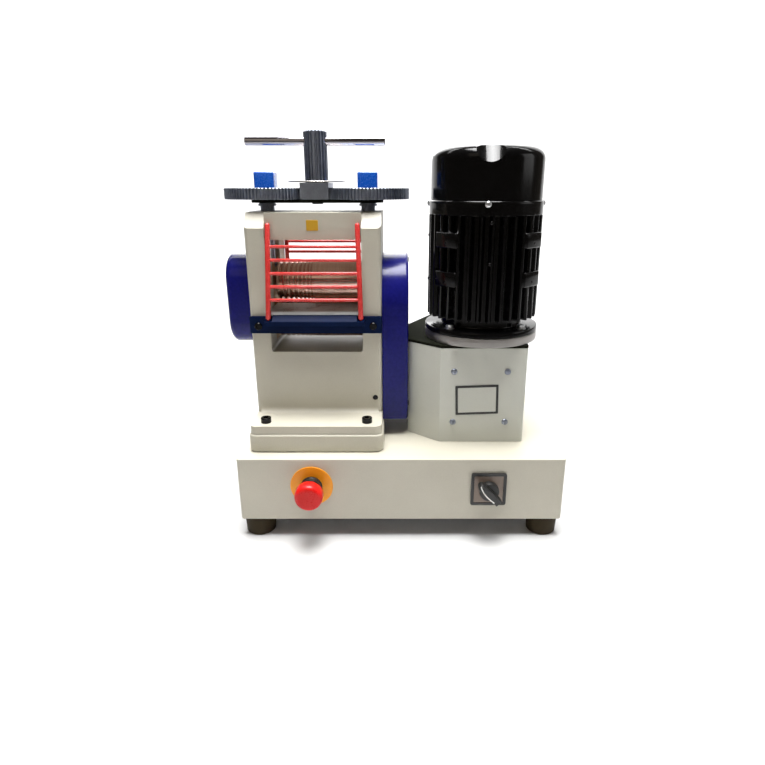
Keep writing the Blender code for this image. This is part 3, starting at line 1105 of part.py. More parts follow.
    cowl = piece("fan_cowl", turned([(0, COWL_LOW)] + shoulder(0), LARGE_STEPS, "Z", axis), looks["gloss"])
    cut(cowl, *scoops(COWL_SCOOP_RADIUS))
    inside = [(0, COWL_LOW - OVERRUN), (COWL_RADIUS - COWL_SHEET, COWL_LOW - OVERRUN)] + shoulder(COWL_SHEET)[1:]
    hollow = hidden("fan_cowl_hollow", turned(inside, LARGE_STEPS, "Z", axis))
    cut(hollow, *scoops(COWL_SCOOP_RADIUS + COWL_SHEET))
    combine(cowl, "DIFFERENCE", hollow)
    vents = []
    half = COWL_VENT_WIDTH / 2
    for number in range(COWL_VENT_COUNT):
        low = (COWL_VENT_INNER, -half, COWL_TOP - COWL_SHEET - OVERRUN)
        vent = box(low, (COWL_VENT_OUTER, half, COWL_TOP + OVERRUN))
        angle = 2 * math.pi * number / COWL_VENT_COUNT
        vent.transform(Matrix.Translation(axis) @ Matrix.Rotation(angle, 4, "Z"))
        vents.append(vent)
    cut(cowl, *vents)

    low = (MOTOR_X - TERMINAL_WIDTH / 2, MOTOR_BODY_LOW + TERMINAL_RISE)
    high = (low[0] + TERMINAL_WIDTH, low[1] + TERMINAL_HEIGHT)
    near = MOTOR_Y + MOTOR_RADIUS + GAP
    outline = rounded(low, high, TERMINAL_CORNER, SMALL_CORNER_STEPS)
    terminal = domed(outline, near, near + TERMINAL_DEPTH, "Y", TERMINAL_CORNER / 2)
    piece("terminal_box", terminal, looks["gloss"])


def adjuster(looks):
    """The screws that set the upper roll, their gears, and the handle with the long pinion between them."""
    def stadium(radius):
        ends = arc(radius, (HEAD_X + SCREW_X, 0), -90, 90, HALF_ROUND_STEPS)
        return ends + arc(radius, (HEAD_X - SCREW_X, 0), 90, 270, HALF_ROUND_STEPS)

    screw_places = [(HEAD_X + side * SCREW_X, 0) for side in (-1, 1)]
    holes = [circle(SCREW_RADIUS + RUNNING, ROUND_STEPS, place) for place in screw_places]
    holes.append(circle(PINION_JOURNAL + RUNNING, ROUND_STEPS, (HEAD_X, 0)))
    piece("yoke_plate", prism(stadium(YOKE_RADIUS), YOKE_LOW, YOKE_TOP, holes=holes), looks["dark"])

    half = (BRACKET_WIDTH / 2, BRACKET_DEPTH / 2)
    low, high = (HEAD_X - half[0], -half[1]), (HEAD_X + half[0], half[1])
    hole = PINION_TIP + 2 * RUNNING
    bracket = piece("pinion_bracket", box((*low, GEAR_LOW), (*high, BRACKET_TOP)), looks["gear_steel"])
    open_half = half[1] - BRACKET_CHEEK
    past = half[0] + OVERRUN
    middle = box((HEAD_X - past, -open_half, GEAR_LOW - OVERRUN), (HEAD_X + past, open_half, GEAR_TOP + GAP))
    cut(bracket, middle)
    gear_tip = (SCREW_GEAR_TEETH / 2 + ADDENDUM_SHARE) * SCREW_MODULE + 2 * RUNNING
    slots = []
    for x, y in screw_places:
        slots.append(rod(gear_tip, GEAR_LOW - OVERRUN, GEAR_TOP + GAP, centre=(x, y, 0), steps=LARGE_STEPS))
    cut(bracket, *slots)
    cut(bracket, rod(hole, GEAR_TOP, BRACKET_TOP + OVERRUN, centre=(HEAD_X, 0, 0)))

    step = WINDOW_TOP - OVERRUN
    collar = FRAME_TOP + COLLAR_LIFT
    for name, side in (("left", -1), ("right", 1)):
        axis = (HEAD_X + side * SCREW_X, 0, 0)
        profile = [(0, BUTTON_LOW), (BUTTON_RADIUS, BUTTON_LOW), (BUTTON_RADIUS, BUTTON_TOP)]
        profile += [(NOSE_RADIUS, BUTTON_TOP), (NOSE_RADIUS, step), (SCREW_RADIUS, step)]
        profile += [(SCREW_RADIUS, collar), (COLLAR_RADIUS, collar), (COLLAR_RADIUS, collar + COLLAR_HEIGHT)]
        profile += [(SCREW_RADIUS, collar + COLLAR_HEIGHT), (SCREW_RADIUS, GEAR_TOP)]
        profile += [(SCREW_STUB_RADIUS, GEAR_TOP), (SCREW_STUB_RADIUS, GEAR_TOP + SCREW_STUB)]
        profile.append((0, GEAR_TOP + SCREW_STUB))
        origin = (axis[0], 0, GEAR_LOW)
        piece(f"{name}_screw", turned(profile, ROUND_STEPS, "Z", axis), looks["polished"], origin)
        outline = gear(SCREW_GEAR_TEETH, SCREW_MODULE, math.pi / SCREW_GEAR_TEETH)
        hole = [circle(SCREW_RADIUS + GAP, ROUND_STEPS, axis[:2])]
        screw_gear = prism(moved(outline, axis[:2]), GEAR_LOW, GEAR_TOP, holes=hole)
        piece(f"{name}_screw_gear", screw_gear, looks["gear_steel"], origin)
        cap_low = GEAR_TOP + GAP
        corner = CAP_SIDE / 2
        outline = rounded((axis[0] - corner, -corner), (axis[0] + corner, corner), CAP_EDGE, SMALL_CORNER_STEPS)
        cap = piece(f"{name}_screw_cap", domed(outline, cap_low, cap_low + CAP_HEIGHT, "Z", CAP_EDGE), looks["royal"])
        pocket = rod(SCREW_STUB_RADIUS + GAP, cap_low - OVERRUN, cap_low + CAP_POCKET, centre=axis)
        cut(cap, pocket)

    axis = (HEAD_X, 0, 0)
    outline = moved(gear(PINION_TEETH, SCREW_MODULE), axis[:2])
    pinion = prism(outline, GEAR_LOW + GAP, PINION_TOP)
    pinion = piece("handle_pinion", pinion, looks["gear_steel"], (HEAD_X, 0, GEAR_LOW))
    join(pinion, rod(PINION_JOURNAL, YOKE_LOW - OVERRUN, GEAR_LOW + OVERRUN, centre=axis))
    level = PINION_TOP - TEE_BAR_DROP
    past = PINION_TIP + OVERRUN
    place = (HEAD_X, 0, level)
    cut(pinion, rod(TEE_BAR_RADIUS + GAP, -past, past, "X", place))
    half, edge = TEE_BAR_LENGTH / 2, TEE_BAR_EDGE
    profile = [(0, -half), (TEE_BAR_RADIUS - edge, -half), (TEE_BAR_RADIUS, edge - half)]
    profile += [(TEE_BAR_RADIUS, half - edge), (TEE_BAR_RADIUS - edge, half), (0, half)]
    piece("tee_bar", turned(profile, ROUND_STEPS, "X", place), looks["chrome"], place)
    dial_low = BRACKET_TOP + DIAL_STAND
    dial_ends = (dial_low, dial_low + DIAL_THICKNESS)
    dial = ring(PINION_TIP + GAP, DIAL_RADIUS, *dial_ends, centre=axis, steps=LARGE_STEPS)
    piece("dial_disc", dial, looks["silver"], (HEAD_X, 0, dial_low))


def guards(looks):
    """The rod guards, the bars that carry them and the feed tables, in front of the rolls and behind them."""
    top = FRAME_TOP - RAIL_DROP
    upper_y = FRAME_FRONT - CROSSPIECE_RECESS + RAIL_STANDOFF + RAIL_RADIUS
    tilt = math.hypot(RAIL_LEAN, RAIL_SPLAY) / (top - GUARD_SHELF_TOP)
    drop = top - GUARD_SHELF_TOP - GAP - RAIL_RADIUS * tilt

    def guard(side, rod_shares):
        bars = []
        for end in (-1, 1):
            down = Vector((end * RAIL_SPLAY, -RAIL_LEAN, -drop))
            rail = rod(RAIL_RADIUS, -down.length, 0, steps=SMALL_STEPS)
            turn = Vector((0, 0, -1)).rotation_difference(down).to_matrix().to_4x4()
            rail.transform(Matrix.Translation((end * RAIL_X, 0, 0)) @ turn)
            bars.append(rail)
        for share in rod_shares:
            half = RAIL_X + RAIL_SPLAY * share
            bars.append(rod(GUARD_ROD_RADIUS, -half, half, "X", (0, -RAIL_LEAN * share, -drop * share), ROD_STEPS))
        for bar in bars:
            bar.transform(Matrix.Translation((0, -upper_y, top)))
            if side > 0:
                bar.transform(Matrix.Rotation(math.pi, 4, "Z"))
            bar.transform(Matrix.Translation((HEAD_X, 0, 0)))
        return bars

    for name, side, rod_shares in (("front", -1, FRONT_ROD_SHARES), ("rear", 1, REAR_ROD_SHARES)):
        left, right, *rods = guard(side, rod_shares)
        made = piece(f"{name}_roll_guard", left, looks["red"])
        join(made, gather(*rods))
        join(made, right)

    table_low = TABLE_LEVEL - TABLE_THICKNESS
    near, far = FRAME_FRONT + GAP, GUARD_BAR_FRONT
    sunk = far - GUARD_BAR_THICKNESS / 2
    lip_edge = GUARD_SHELF_FRONT - GUARD_LIP_RUN

    def bar(side):
        points = [(side * near, GUARD_BAR_LOW), (side * far, GUARD_BAR_LOW)]
        points += [(side * far, GUARD_BAR_TOP), (side * near, GUARD_BAR_TOP)]
        return prism(points, HEAD_X - FRAME_SIDE, HEAD_X + FRAME_SIDE, "X")

    def shelf(side):
        half = RAIL_FOOT_X + RAIL_RADIUS + GUARD_SHELF_END
        points = [(side * sunk, GUARD_SHELF_LOW), (side * GUARD_SHELF_FRONT, GUARD_SHELF_LOW)]
        points += [(side * GUARD_SHELF_FRONT, GUARD_SHELF_TOP), (side * sunk, GUARD_SHELF_TOP)]
        return prism(points, HEAD_X - half, HEAD_X + half, "X")

    def lip(side):
        half = GUARD_LIP_WIDTH / 2
        low = GUARD_SHELF_LOW + GUARD_SHELF_THICKNESS / 2
        inside = sunk - GAP
        points = [(side * inside, low), (side * (GUARD_SHELF_FRONT - GAP), low)]
        points += [(side * (GUARD_SHELF_FRONT - GAP), GUARD_SHELF_TOP + GAP), (side * lip_edge, table_low - GAP)]
        points.append((side * inside, table_low - GAP))
        return prism(points, HEAD_X - half, HEAD_X + half, "X")

    for name, side in (("front", -1), ("rear", 1)):
        made = piece(f"{name}_guard_bar", bar(side), looks["navy"])
        join(made, shelf(side))
        join(made, lip(side))

    outer = lip_edge - TABLE_LIP
    inner = []
    for level in (table_low, TABLE_LEVEL):
        inner.append(math.sqrt(ROLL_RADIUS**2 - (level - LOWER_AXIS) ** 2) + TABLE_CLEARANCE)

    def table(side):
        points = [(side * outer, table_low), (side * inner[0], table_low), (side * inner[1], TABLE_LEVEL)]
        points.append((side * outer, TABLE_LEVEL))
        return prism(points, HEAD_X - TABLE_WIDTH / 2, HEAD_X + TABLE_WIDTH / 2, "X")

    for name, side in (("front", -1), ("rear", 1)):
        piece(f"{name}_feed_table", table(side), looks["steel"])


def main():
    """Clears the scene and builds the whole machine."""
    for item in list(bpy.data.objects):
        bpy.data.objects.remove(item)
    centre = bpy.data.objects.new("machine_centre", None)
    bpy.context.scene.collection.objects.link(centre)
    centre.location = (-CENTRE_X, -CENTRE_Y, 0)
    looks = {
        "paint": finish("warm_grey_paint", (0.56, 0.55, 0.51), 0.5),
        "blue": finish("ultramarine_paint", (0.03, 0.05, 0.42), 0.25),
        "royal": finish("royal_blue_paint", (0.04, 0.10, 0.62), 0.3),
        "navy": finish("navy_paint", (0.015, 0.02, 0.12), 0.35),
        "red": finish("coral_red_paint", (0.80, 0.09, 0.06), 0.35),
        "button": finish("red_plastic", (0.72, 0.03, 0.02), 0.3),
        "yellow": finish("yellow_plastic", (0.90, 0.62, 0.03), 0.4),
        "black": finish("black_plastic", (0.02, 0.02, 0.02), 0.45),
        "plate": finish("dark_plastic", (0.05, 0.045, 0.04), 0.4),
        "rubber": finish("black_rubber", (0.02, 0.02, 0.02), 0.8),
        "gloss": finish("gloss_black_paint", (0.012, 0.012, 0.014), 0.15),
        "dark": finish("dark_painted_plate", (0.03, 0.03, 0.035), 0.4),
        "silver": finish("satin_aluminium", (0.62, 0.62, 0.63), 0.4, 1.0),
        "zinc": finish("zinc_plated_steel", (0.60, 0.61, 0.62), 0.35, 1.0),
        "polished": finish("polished_steel", (0.70, 0.70, 0.70), 0.12, 1.0),
        "steel": finish("brushed_steel", (0.55, 0.55, 0.55), 0.3, 1.0),
        "gear_steel": finish("dark_gear_steel", (0.22, 0.23, 0.25), 0.35, 1.0),
        "chrome": finish("chrome_plated_steel", (0.85, 0.85, 0.86), 0.06, 1.0),
        "bronze": finish("bearing_bronze", (0.62, 0.42, 0.18), 0.35, 1.0),
        "cast": finish("cast_iron_primer", (0.16, 0.17, 0.18), 0.6),
        "winding": finish("laminated_steel", (0.30, 0.30, 0.31), 0.5, 1.0),
    }
    for build in (base, emergency_stop, selector_switch, head, rolls, final_drive, gearbox):
        build(looks)
    for build in (gear_covers, motor, adjuster, guards):
        build(looks)


main()
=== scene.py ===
# %% [markdown]
# # Dressing a motor driven jewellers rolling mill
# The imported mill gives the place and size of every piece. This lesson gives each of them its real
# shape and finish, one cell at a time. Sizes are in metres, +Z is up and the operator stands at -Y.

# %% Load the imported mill
from math import cos, pi, radians, sin

import bpy
from mathutils import Matrix, Vector


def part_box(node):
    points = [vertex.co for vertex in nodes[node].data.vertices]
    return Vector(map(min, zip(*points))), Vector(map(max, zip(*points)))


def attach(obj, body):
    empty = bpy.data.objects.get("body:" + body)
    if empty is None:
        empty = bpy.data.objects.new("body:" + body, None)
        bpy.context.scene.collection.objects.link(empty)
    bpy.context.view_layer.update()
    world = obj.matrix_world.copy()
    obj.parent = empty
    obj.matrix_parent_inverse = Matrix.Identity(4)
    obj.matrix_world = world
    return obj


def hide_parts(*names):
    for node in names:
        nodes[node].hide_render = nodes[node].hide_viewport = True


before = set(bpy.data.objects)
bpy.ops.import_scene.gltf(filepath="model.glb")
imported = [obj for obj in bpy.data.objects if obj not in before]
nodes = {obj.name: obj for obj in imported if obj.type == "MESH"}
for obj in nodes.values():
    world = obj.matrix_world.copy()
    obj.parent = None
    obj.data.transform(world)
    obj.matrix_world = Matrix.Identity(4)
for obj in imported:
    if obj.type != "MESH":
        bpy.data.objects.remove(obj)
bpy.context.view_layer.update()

# %% [markdown]
# ## The places that other pieces are measured from
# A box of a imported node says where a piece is. Reading the places from the boxes, and not typing
# them, keeps the dress on the mill if a size of the mill changes.

# %% Measure the main places


def middle(node):
    low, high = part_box(node)
    return (low + high) / 2


frame_low, frame_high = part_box("mill_frame")
cabinet_low, cabinet_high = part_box("base_cabinet")
HEAD_X, HEAD_Y = middle("mill_frame").x, middle("mill_frame").y
MOTOR_X, MOTOR_Y = middle("adapter_ring").x, middle("adapter_ring").y
HEAD, MOTOR = (HEAD_X, HEAD_Y, 0), (MOTOR_X, MOTOR_Y, 0)
UPPER_Z, LOWER_Z = middle("upper_roll_gear").z, middle("lower_roll_gear").z
print("head", round(HEAD_X, 4), "motor", round(MOTOR_X, 4), "rolls", round(LOWER_Z, 4), round(UPPER_Z, 4))

# %% [markdown]
# ## Camera, floor and light
# The camera stands where the photographer stood: a little above the mill, looking down at it. The
# floor is one sheet that sweeps up behind the mill, as in a photographer's studio, so no horizon
# shows. The photographed mill has bright tops and much darker fronts, so the light comes from above
# and behind, and only a weak warm light fills the front. Two lamps of its own whiten the wall, and
# beyond the sheet the camera sees plain white.

# %% Camera
SENSOR = 36.0
FOCAL_PIXELS, PICTURE_PIXELS = 575.0, 765.0
camera_data = bpy.data.cameras.new("photographer")
camera_data.sensor_width = SENSOR
camera_data.lens = SENSOR * FOCAL_PIXELS / PICTURE_PIXELS
camera_data.shift_x = -0.019
camera = bpy.data.objects.new("photographer", camera_data)
bpy.context.scene.collection.objects.link(camera)
camera.location = (0.0071, -0.8502, 0.4722)
camera.rotation_euler = (radians(71.3), 0, 0)
bpy.context.scene.camera = camera
print("lens", round(camera_data.lens, 2), "mm")

# %% Floor sweep


def nothing_selected():
    """Every piece starts from here, because an operator acts on all that is selected."""
    bpy.ops.object.select_all(action="DESELECT")


def take(piece):
    """Leaves this piece alone selected, so that the next operator acts on it."""
    nothing_selected()
    piece.select_set(True)
    bpy.context.view_layer.objects.active = piece


def mode(name):
    bpy.ops.object.mode_set(mode=name)


def tune(node, settings):
    """Turns the knobs of a node of a material or of the world."""
    for name, value in settings.items():
        node.inputs[name].default_value = value


FLOOR_SIZE, SWEEP_HEIGHT, SWEEP_RADIUS, SWEEP_STEPS = 9.0, 5.0, 2.0, 24
nothing_selected()
bpy.ops.mesh.primitive_plane_add(size=FLOOR_SIZE, location=(0, 0, 0))
floor = bpy.context.object
floor.name = "floor"
mode("EDIT")
bpy.ops.mesh.select_all(action="DESELECT")
mode("OBJECT")
for vertex in floor.data.vertices:
    vertex.select = vertex.co.y > 0
far_edges = [all(floor.data.vertices[v].co.y > 0 for v in e.vertices) for e in floor.data.edges]
floor.data.edges.foreach_set("select", far_edges)
mode("EDIT")
bpy.ops.mesh.extrude_region_move(TRANSFORM_OT_translate={"value": (0, 0, SWEEP_HEIGHT)})
mode("OBJECT")
bend = floor.modifiers.new("Sweep", "BEVEL")
bend.width, bend.segments, bend.limit_method = SWEEP_RADIUS, SWEEP_STEPS, "ANGLE"
bpy.ops.object.modifier_apply(modifier=bend.name)
bpy.ops.object.shade_smooth()
print("floor faces:", len(floor.data.polygons))

# %% Studio lamps
world = bpy.data.worlds.new("studio")
world.use_nodes = True
tree = world.node_tree
add, link = tree.nodes.new, tree.links.new
tune(tree.nodes["Background"], {"Color": (1.0, 0.86, 0.70, 1.0), "Strength": 0.09})
seen_white = add("ShaderNodeBackground")
tune(seen_white, {"Color": (1.0, 1.0, 1.0, 1.0)})
choice = add("ShaderNodeMixShader")
link(add("ShaderNodeLightPath").outputs["Is Camera Ray"], choice.inputs["Fac"])
link(tree.nodes["Background"].outputs["Background"], choice.inputs[1])
link(seen_white.outputs["Background"], choice.inputs[2])
link(choice.outputs["Shader"], tree.nodes["World Output"].inputs["Surface"])
bpy.context.scene.world = world
bpy.context.scene.view_settings.view_transform = "Standard"
MILL = (0, 0, 0.22)


def lamp(name, place, size, watts, aim=MILL, colour=(1, 1, 1), spread=180):
    """A square soft lamp, turned to what it lights."""
    data = bpy.data.lights.new(name, "AREA")
    data.size, data.energy, data.color, data.spread = size, watts, colour, radians(spread)
    made = bpy.data.objects.new(name, data)
    bpy.context.scene.collection.objects.link(made)
    made.location = place
    made.rotation_euler = (Vector(aim) - Vector(place)).to_track_quat("-Z", "Y").to_euler()
    return made


lamp("front_softbox", (-0.9, -1.9, 1.6), 1.5, 4.0, colour=(1.0, 0.88, 0.72))
lamp("top_softbox", (0.05, -0.1, 2.4), 1.3, 28.0, aim=(0.05, -0.05, 0), spread=75)
lamp("right_softbox", (2.1, -0.4, 1.0), 1.0, 5.0)
lamp("back_softbox", (-0.4, 2.6, 2.0), 2.0, 44.0)
for side in (-1, 1):
    lamp(f"wall_softbox_{side}", (side * 1.9, 1.7, 3.4), 2.2, 250.0, aim=(side * 2.4, 4.5, 1.1))

# %% [markdown]
# ## Drawing tools
# Nearly every piece of a machine is either sawn from a plate along an outline, or turned in a
# lathe. Both start the same way here: one vertex is extruded from point to point round the
# outline. The outline is then filled and extruded into a plate, or spun into a turned piece.

# %% Outlines
PLANES = {"X": (1, 2, 0), "Y": (0, 2, 1), "Z": (0, 1, 2)}


def in_space(point, level, axis):
    """A point of a flat outline, placed at a level along the axis."""
    u, v, depth = PLANES[axis]
    place = [0.0, 0.0, 0.0]
    place[u], place[v], place[depth] = point[0], point[1], level
    return Vector(place)


def arc(radius, centre, start, end, steps=10):
    """Points along part of a circle, in degrees, both ends included."""
    angles = [radians(start + (end - start) * step / steps) for step in range(steps + 1)]
    return [(centre[0] + radius * cos(a), centre[1] + radius * sin(a)) for a in angles]


def quarter(steps):
    """The cosine and sine at even steps from 0 to 90 degrees, to draw round edges from."""
    return arc(1, (0, 0), 0, 90, steps)


def rounded(low, high, radius, steps=8, inset=0):
    """A rectangle with round corners, drawn in by an inset."""
    by = radius + inset
    left, bottom, right, top = low[0] + by, low[1] + by, high[0] - by, high[1] - by
    corners = ((right, top, 0), (left, top, 90), (left, bottom, 180), (right, bottom, 270))
    return [point for x, y, turn in corners for point in arc(radius, (x, y), turn, turn + 90, steps)]


def toothed(teeth, section, centre, turn=0.0):
    """A wheel with the same section on every tooth: radii, each with its share of a tooth's step."""
    step, points = 2 * pi / teeth, []
    for tooth in range(teeth):
        for radius, share in section:
            angle = turn + (tooth + share) * step
            points.append((centre[0] + radius * cos(angle), centre[1] + radius * sin(angle)))
    return points


print("a rounded outline has", len(rounded((0, 0), (1, 1), 0.1)), "points")

# %% Trace, extrude and spin
MERGE = 0.000002


def trace(name, points, closed):
    """One vertex, extruded from point to point. A closed outline is merged at its ends and filled."""
    nothing_selected()
    bpy.ops.mesh.primitive_plane_add(size=0.001, location=points[0])
    bpy.context.object.name = name
    mode("EDIT")
    bpy.ops.mesh.merge(type="CENTER")
    route = list(points[1:]) + ([points[0]] if closed else [])
    at = Vector(points[0])
    for point in route:
        bpy.ops.mesh.extrude_vertices_move(TRANSFORM_OT_translate={"value": Vector(point) - at})
        at = Vector(point)
    bpy.ops.mesh.select_all(action="SELECT")
    bpy.ops.mesh.remove_doubles(threshold=MERGE)
    return bpy.context.object


def settled(made, recalculate=True):
    """Leaves edit mode with the normals outwards, and moves the object's place into its mesh."""
    bpy.ops.mesh.select_all(action="SELECT")
    bpy.ops.mesh.remove_doubles(threshold=MERGE)
    if recalculate:
        bpy.ops.mesh.normals_make_consistent(inside=False)
    mode("OBJECT")
    bpy.ops.object.transform_apply(location=True, rotation=True, scale=True)
    return made


def plate(name, outline, low, high, axis="Z"):
    """A plate sawn along an outline, from low to high along an axis."""
    made = trace(name, [in_space(point, low, axis) for point in outline], True)
    bpy.ops.mesh.edge_face_add()
    bpy.ops.mesh.extrude_region_move(TRANSFORM_OT_translate={"value": in_space((0, 0), high - low, axis)})
    return settled(made)


def turned(name, profile, axis="Z", centre=(0, 0, 0), steps=96):
    """A turned piece: a profile of radius and distance along the axis, spun a whole turn."""
    across = {"X": (0, 0, 1), "Y": (1, 0, 0), "Z": (1, 0, 0)}[axis]
    along = in_space((0, 0), 1, axis)
    points = [Vector(centre) + Vector(across) * radius + along * height for radius, height in profile]
    made = trace(name, points, min(radius for radius, _ in profile) > 0)
    bpy.ops.mesh.spin(steps=steps, angle=2 * pi, center=centre, axis=along)
    return settled(made)


OVER = 0.001


def pin(name, radius, start, end, axis="Z", centre=(0, 0, 0), steps=48):
    """A plain round pin. Most of them drill a hole, and stand out of the wall by OVER or more."""
    return turned(name, [(0, start), (radius, start), (radius, end), (0, end)], axis, centre, steps)


def block(name, low, high):
    """A plain block, to be cut or joined with another piece."""
    nothing_selected()
    low, high = Vector(low), Vector(high)
    bpy.ops.mesh.primitive_cube_add(size=1, location=(low + high) / 2, scale=high - low)
    bpy.context.object.name = name
    bpy.ops.object.transform_apply(location=True, rotation=True, scale=True)
    return bpy.context.object


def turn_by(degrees, axis="Z"):
    return Matrix.Rotation(radians(degrees), 4, axis)


def shift(place):
    return Matrix.Translation(place)


print("tools ready")

# %% [markdown]
# A Boolean modifier drills and welds, as the workshop does. A Bevel modifier then breaks the sharp
# edges, because no real edge is perfectly sharp and the light catches it. Each modifier is applied
# at once, so the mesh is final.

# %% Cut, weld, soften and place


def apply(piece, modifier):
    take(piece)
    bpy.ops.object.modifier_apply(modifier=modifier.name)


def use_tool(piece, tool, operation):
    step = piece.modifiers.new("Tool", "BOOLEAN")
    step.operation, step.object, step.solver = operation, tool, "EXACT"
    apply(piece, step)
    bpy.data.objects.remove(tool)


def cut(piece, *tools):
    for tool in tools:
        use_tool(piece, tool, "DIFFERENCE")


def weld(piece, *tools):
    for tool in tools:
        use_tool(piece, tool, "UNION")


def soften(piece, width, segments=3, angle=30):
    """Breaks every edge that is sharper than the angle. The shading then follows the flat faces."""
    step = piece.modifiers.new("Edges", "BEVEL")
    step.width, step.segments, step.limit_method = width, segments, "ANGLE"
    step.angle_limit = radians(angle)
    step.miter_outer = "MITER_ARC"
    apply(piece, step)
    smooth(piece)
    step = piece.modifiers.new("Flats", "WEIGHTED_NORMAL")
    step.keep_sharp = True
    apply(piece, step)
    return piece


def smooth(piece, angle=35):
    take(piece)
    bpy.ops.object.shade_smooth_by_angle(angle=radians(angle))
    return piece


def copies(piece, name, moves):
    """Copies of a finished piece, each with its own mesh, moved by a matrix."""
    made = []
    for number, move in enumerate(moves):
        mesh = piece.data.copy()
        mesh.transform(move)
        copy = bpy.data.objects.new(f"{name}_{number + 1}", mesh)
        bpy.context.scene.collection.objects.link(copy)
        made.append(copy)
    return made


def united(name, parts):
    """Several small things as one piece."""
    nothing_selected()
    for part in parts:
        part.select_set(True)
    bpy.context.view_layer.objects.active = parts[0]
    if len(parts) > 1:
        bpy.ops.object.join()
    made = bpy.context.object
    made.name = name
    return made


def place(piece, body, finish, *replaced, look=None):
    """Gives a finished piece its material, its moving body and the nodes that it stands for. A look
    is for a piece that the photograph shows in another shade than the rest of its finish."""
    piece.data.materials.clear()
    piece.data.materials.append(finishes[finish])
    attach(piece, body)
    if replaced:
        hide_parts(*replaced)
    if look:
        piece.data.materials[0] = finishes[look]
    print(piece.name, "faces:", len(piece.data.polygons), "on", body)
    return piece


print("workshop tools ready")

# %% [markdown]
# ## Finishes
# Every finish is a small group of nodes on Object coordinates, so the pattern keeps its real size
# on each piece: a slow noise varies the colour, a fine noise varies the gloss and raises the grain.
# A stretch of the coordinates turns the noise into lathe rings or brush marks.

# %% The maker of finishes
finishes = {}


def finish(name, colour, other, rough, metal=0.0, patch=60.0, grain=900.0, raise_by=0.15, height=0.0001,
           stretch=(1, 1, 1), coat=0.0, gloss=0.5):
    """A finish named by the record's slot: two colours, a range of roughness and a grain."""
    made = bpy.data.materials.new(name)
    made.use_nodes = True
    tree = made.node_tree
    add, link = tree.nodes.new, tree.links.new
    shader = tree.nodes["Principled BSDF"]
    tune(shader, {"Metallic": metal, "Coat Weight": coat, "Coat Roughness": 0.06})
    tune(shader, {"Specular IOR Level": gloss})
    place_on = add("ShaderNodeTexCoord").outputs["Object"]
    stretched = add("ShaderNodeMapping")
    tune(stretched, {"Scale": stretch})
    link(place_on, stretched.inputs["Vector"])
    patches, grains = (add("ShaderNodeTexNoise") for _ in range(2))
    tune(patches, {"Scale": patch, "Detail": 4.0})
    tune(grains, {"Scale": grain, "Detail": 3.0})
    link(place_on, patches.inputs["Vector"])
    link(stretched.outputs["Vector"], grains.inputs["Vector"])
    both = add("ShaderNodeMix")
    both.data_type = "FLOAT"
    tune(both, {"Factor": 0.5})
    link(patches.outputs["Fac"], both.inputs["A"])
    link(grains.outputs["Fac"], both.inputs["B"])
    ramp = add("ShaderNodeValToRGB")
    for stop, position, shade in zip(ramp.color_ramp.elements, (0.36, 0.64), (colour, other)):
        stop.position, stop.color = position, (*shade, 1.0)
    link(both.outputs["Result"], ramp.inputs["Fac"])
    link(ramp.outputs["Color"], shader.inputs["Base Color"])
    sheen = add("ShaderNodeMapRange")
    tune(sheen, {"From Min": 0.3, "From Max": 0.7, "To Min": rough[0], "To Max": rough[1]})
    link(both.outputs["Result"], sheen.inputs["Value"])
    link(sheen.outputs["Result"], shader.inputs["Roughness"])
    bump = add("ShaderNodeBump")
    tune(bump, {"Strength": raise_by, "Distance": height})
    link(grains.outputs["Fac"], bump.inputs["Height"])
    link(bump.outputs["Normal"], shader.inputs["Normal"])
    finishes[name] = made
    return made


# %% [markdown]
# The castings and the sheet steel are sprayed in a warm light grey with a fine texture. The covers
# are a deep ultramarine gloss enamel, the caps a lighter blue, the bar a navy, the guards coral red.

# %% Paints
finish("warm_grey_paint", (0.49, 0.465, 0.385), (0.55, 0.525, 0.44), (0.38, 0.54), patch=14, grain=1100,
       raise_by=0.35, height=0.00012)
finish("ultramarine_paint", (0.005, 0.006, 0.105), (0.009, 0.009, 0.155), (0.16, 0.26), patch=9, grain=260,
       raise_by=0.12, height=0.0003, coat=0.06, gloss=0.2)
finish("royal_blue_paint", (0.003, 0.085, 0.50), (0.008, 0.12, 0.60), (0.2, 0.32), patch=30, grain=700,
       coat=0.4)
finish("navy_paint", (0.0007, 0.006, 0.032), (0.0012, 0.009, 0.048), (0.45, 0.6), patch=20, grain=800,
       gloss=0.08)
finish("coral_red_paint", (0.60, 0.030, 0.028), (0.70, 0.05, 0.045), (0.2, 0.34), patch=40, grain=1200,
       coat=0.4)
finish("gloss_black_paint", (0.0012, 0.0012, 0.0014), (0.002, 0.002, 0.0022), (0.10, 0.20), patch=18,
       grain=420, raise_by=0.15, height=0.0002, gloss=0.25)
finish("dark_painted_plate", (0.007, 0.008, 0.005), (0.012, 0.013, 0.009), (0.75, 0.9), patch=20, grain=700,
       gloss=0.02)
finish("cast_iron_primer", (0.13, 0.14, 0.15), (0.18, 0.19, 0.20), (0.5, 0.7), patch=30, grain=600,
       raise_by=0.6, height=0.0004)
print("paints:", len(finishes))

# %% [markdown]
# Bare metals differ by how they were cut: ground rolls are bright with faint rings, brushed plates
# carry long marks, cut gear teeth are dark and oily, plating is smooth.

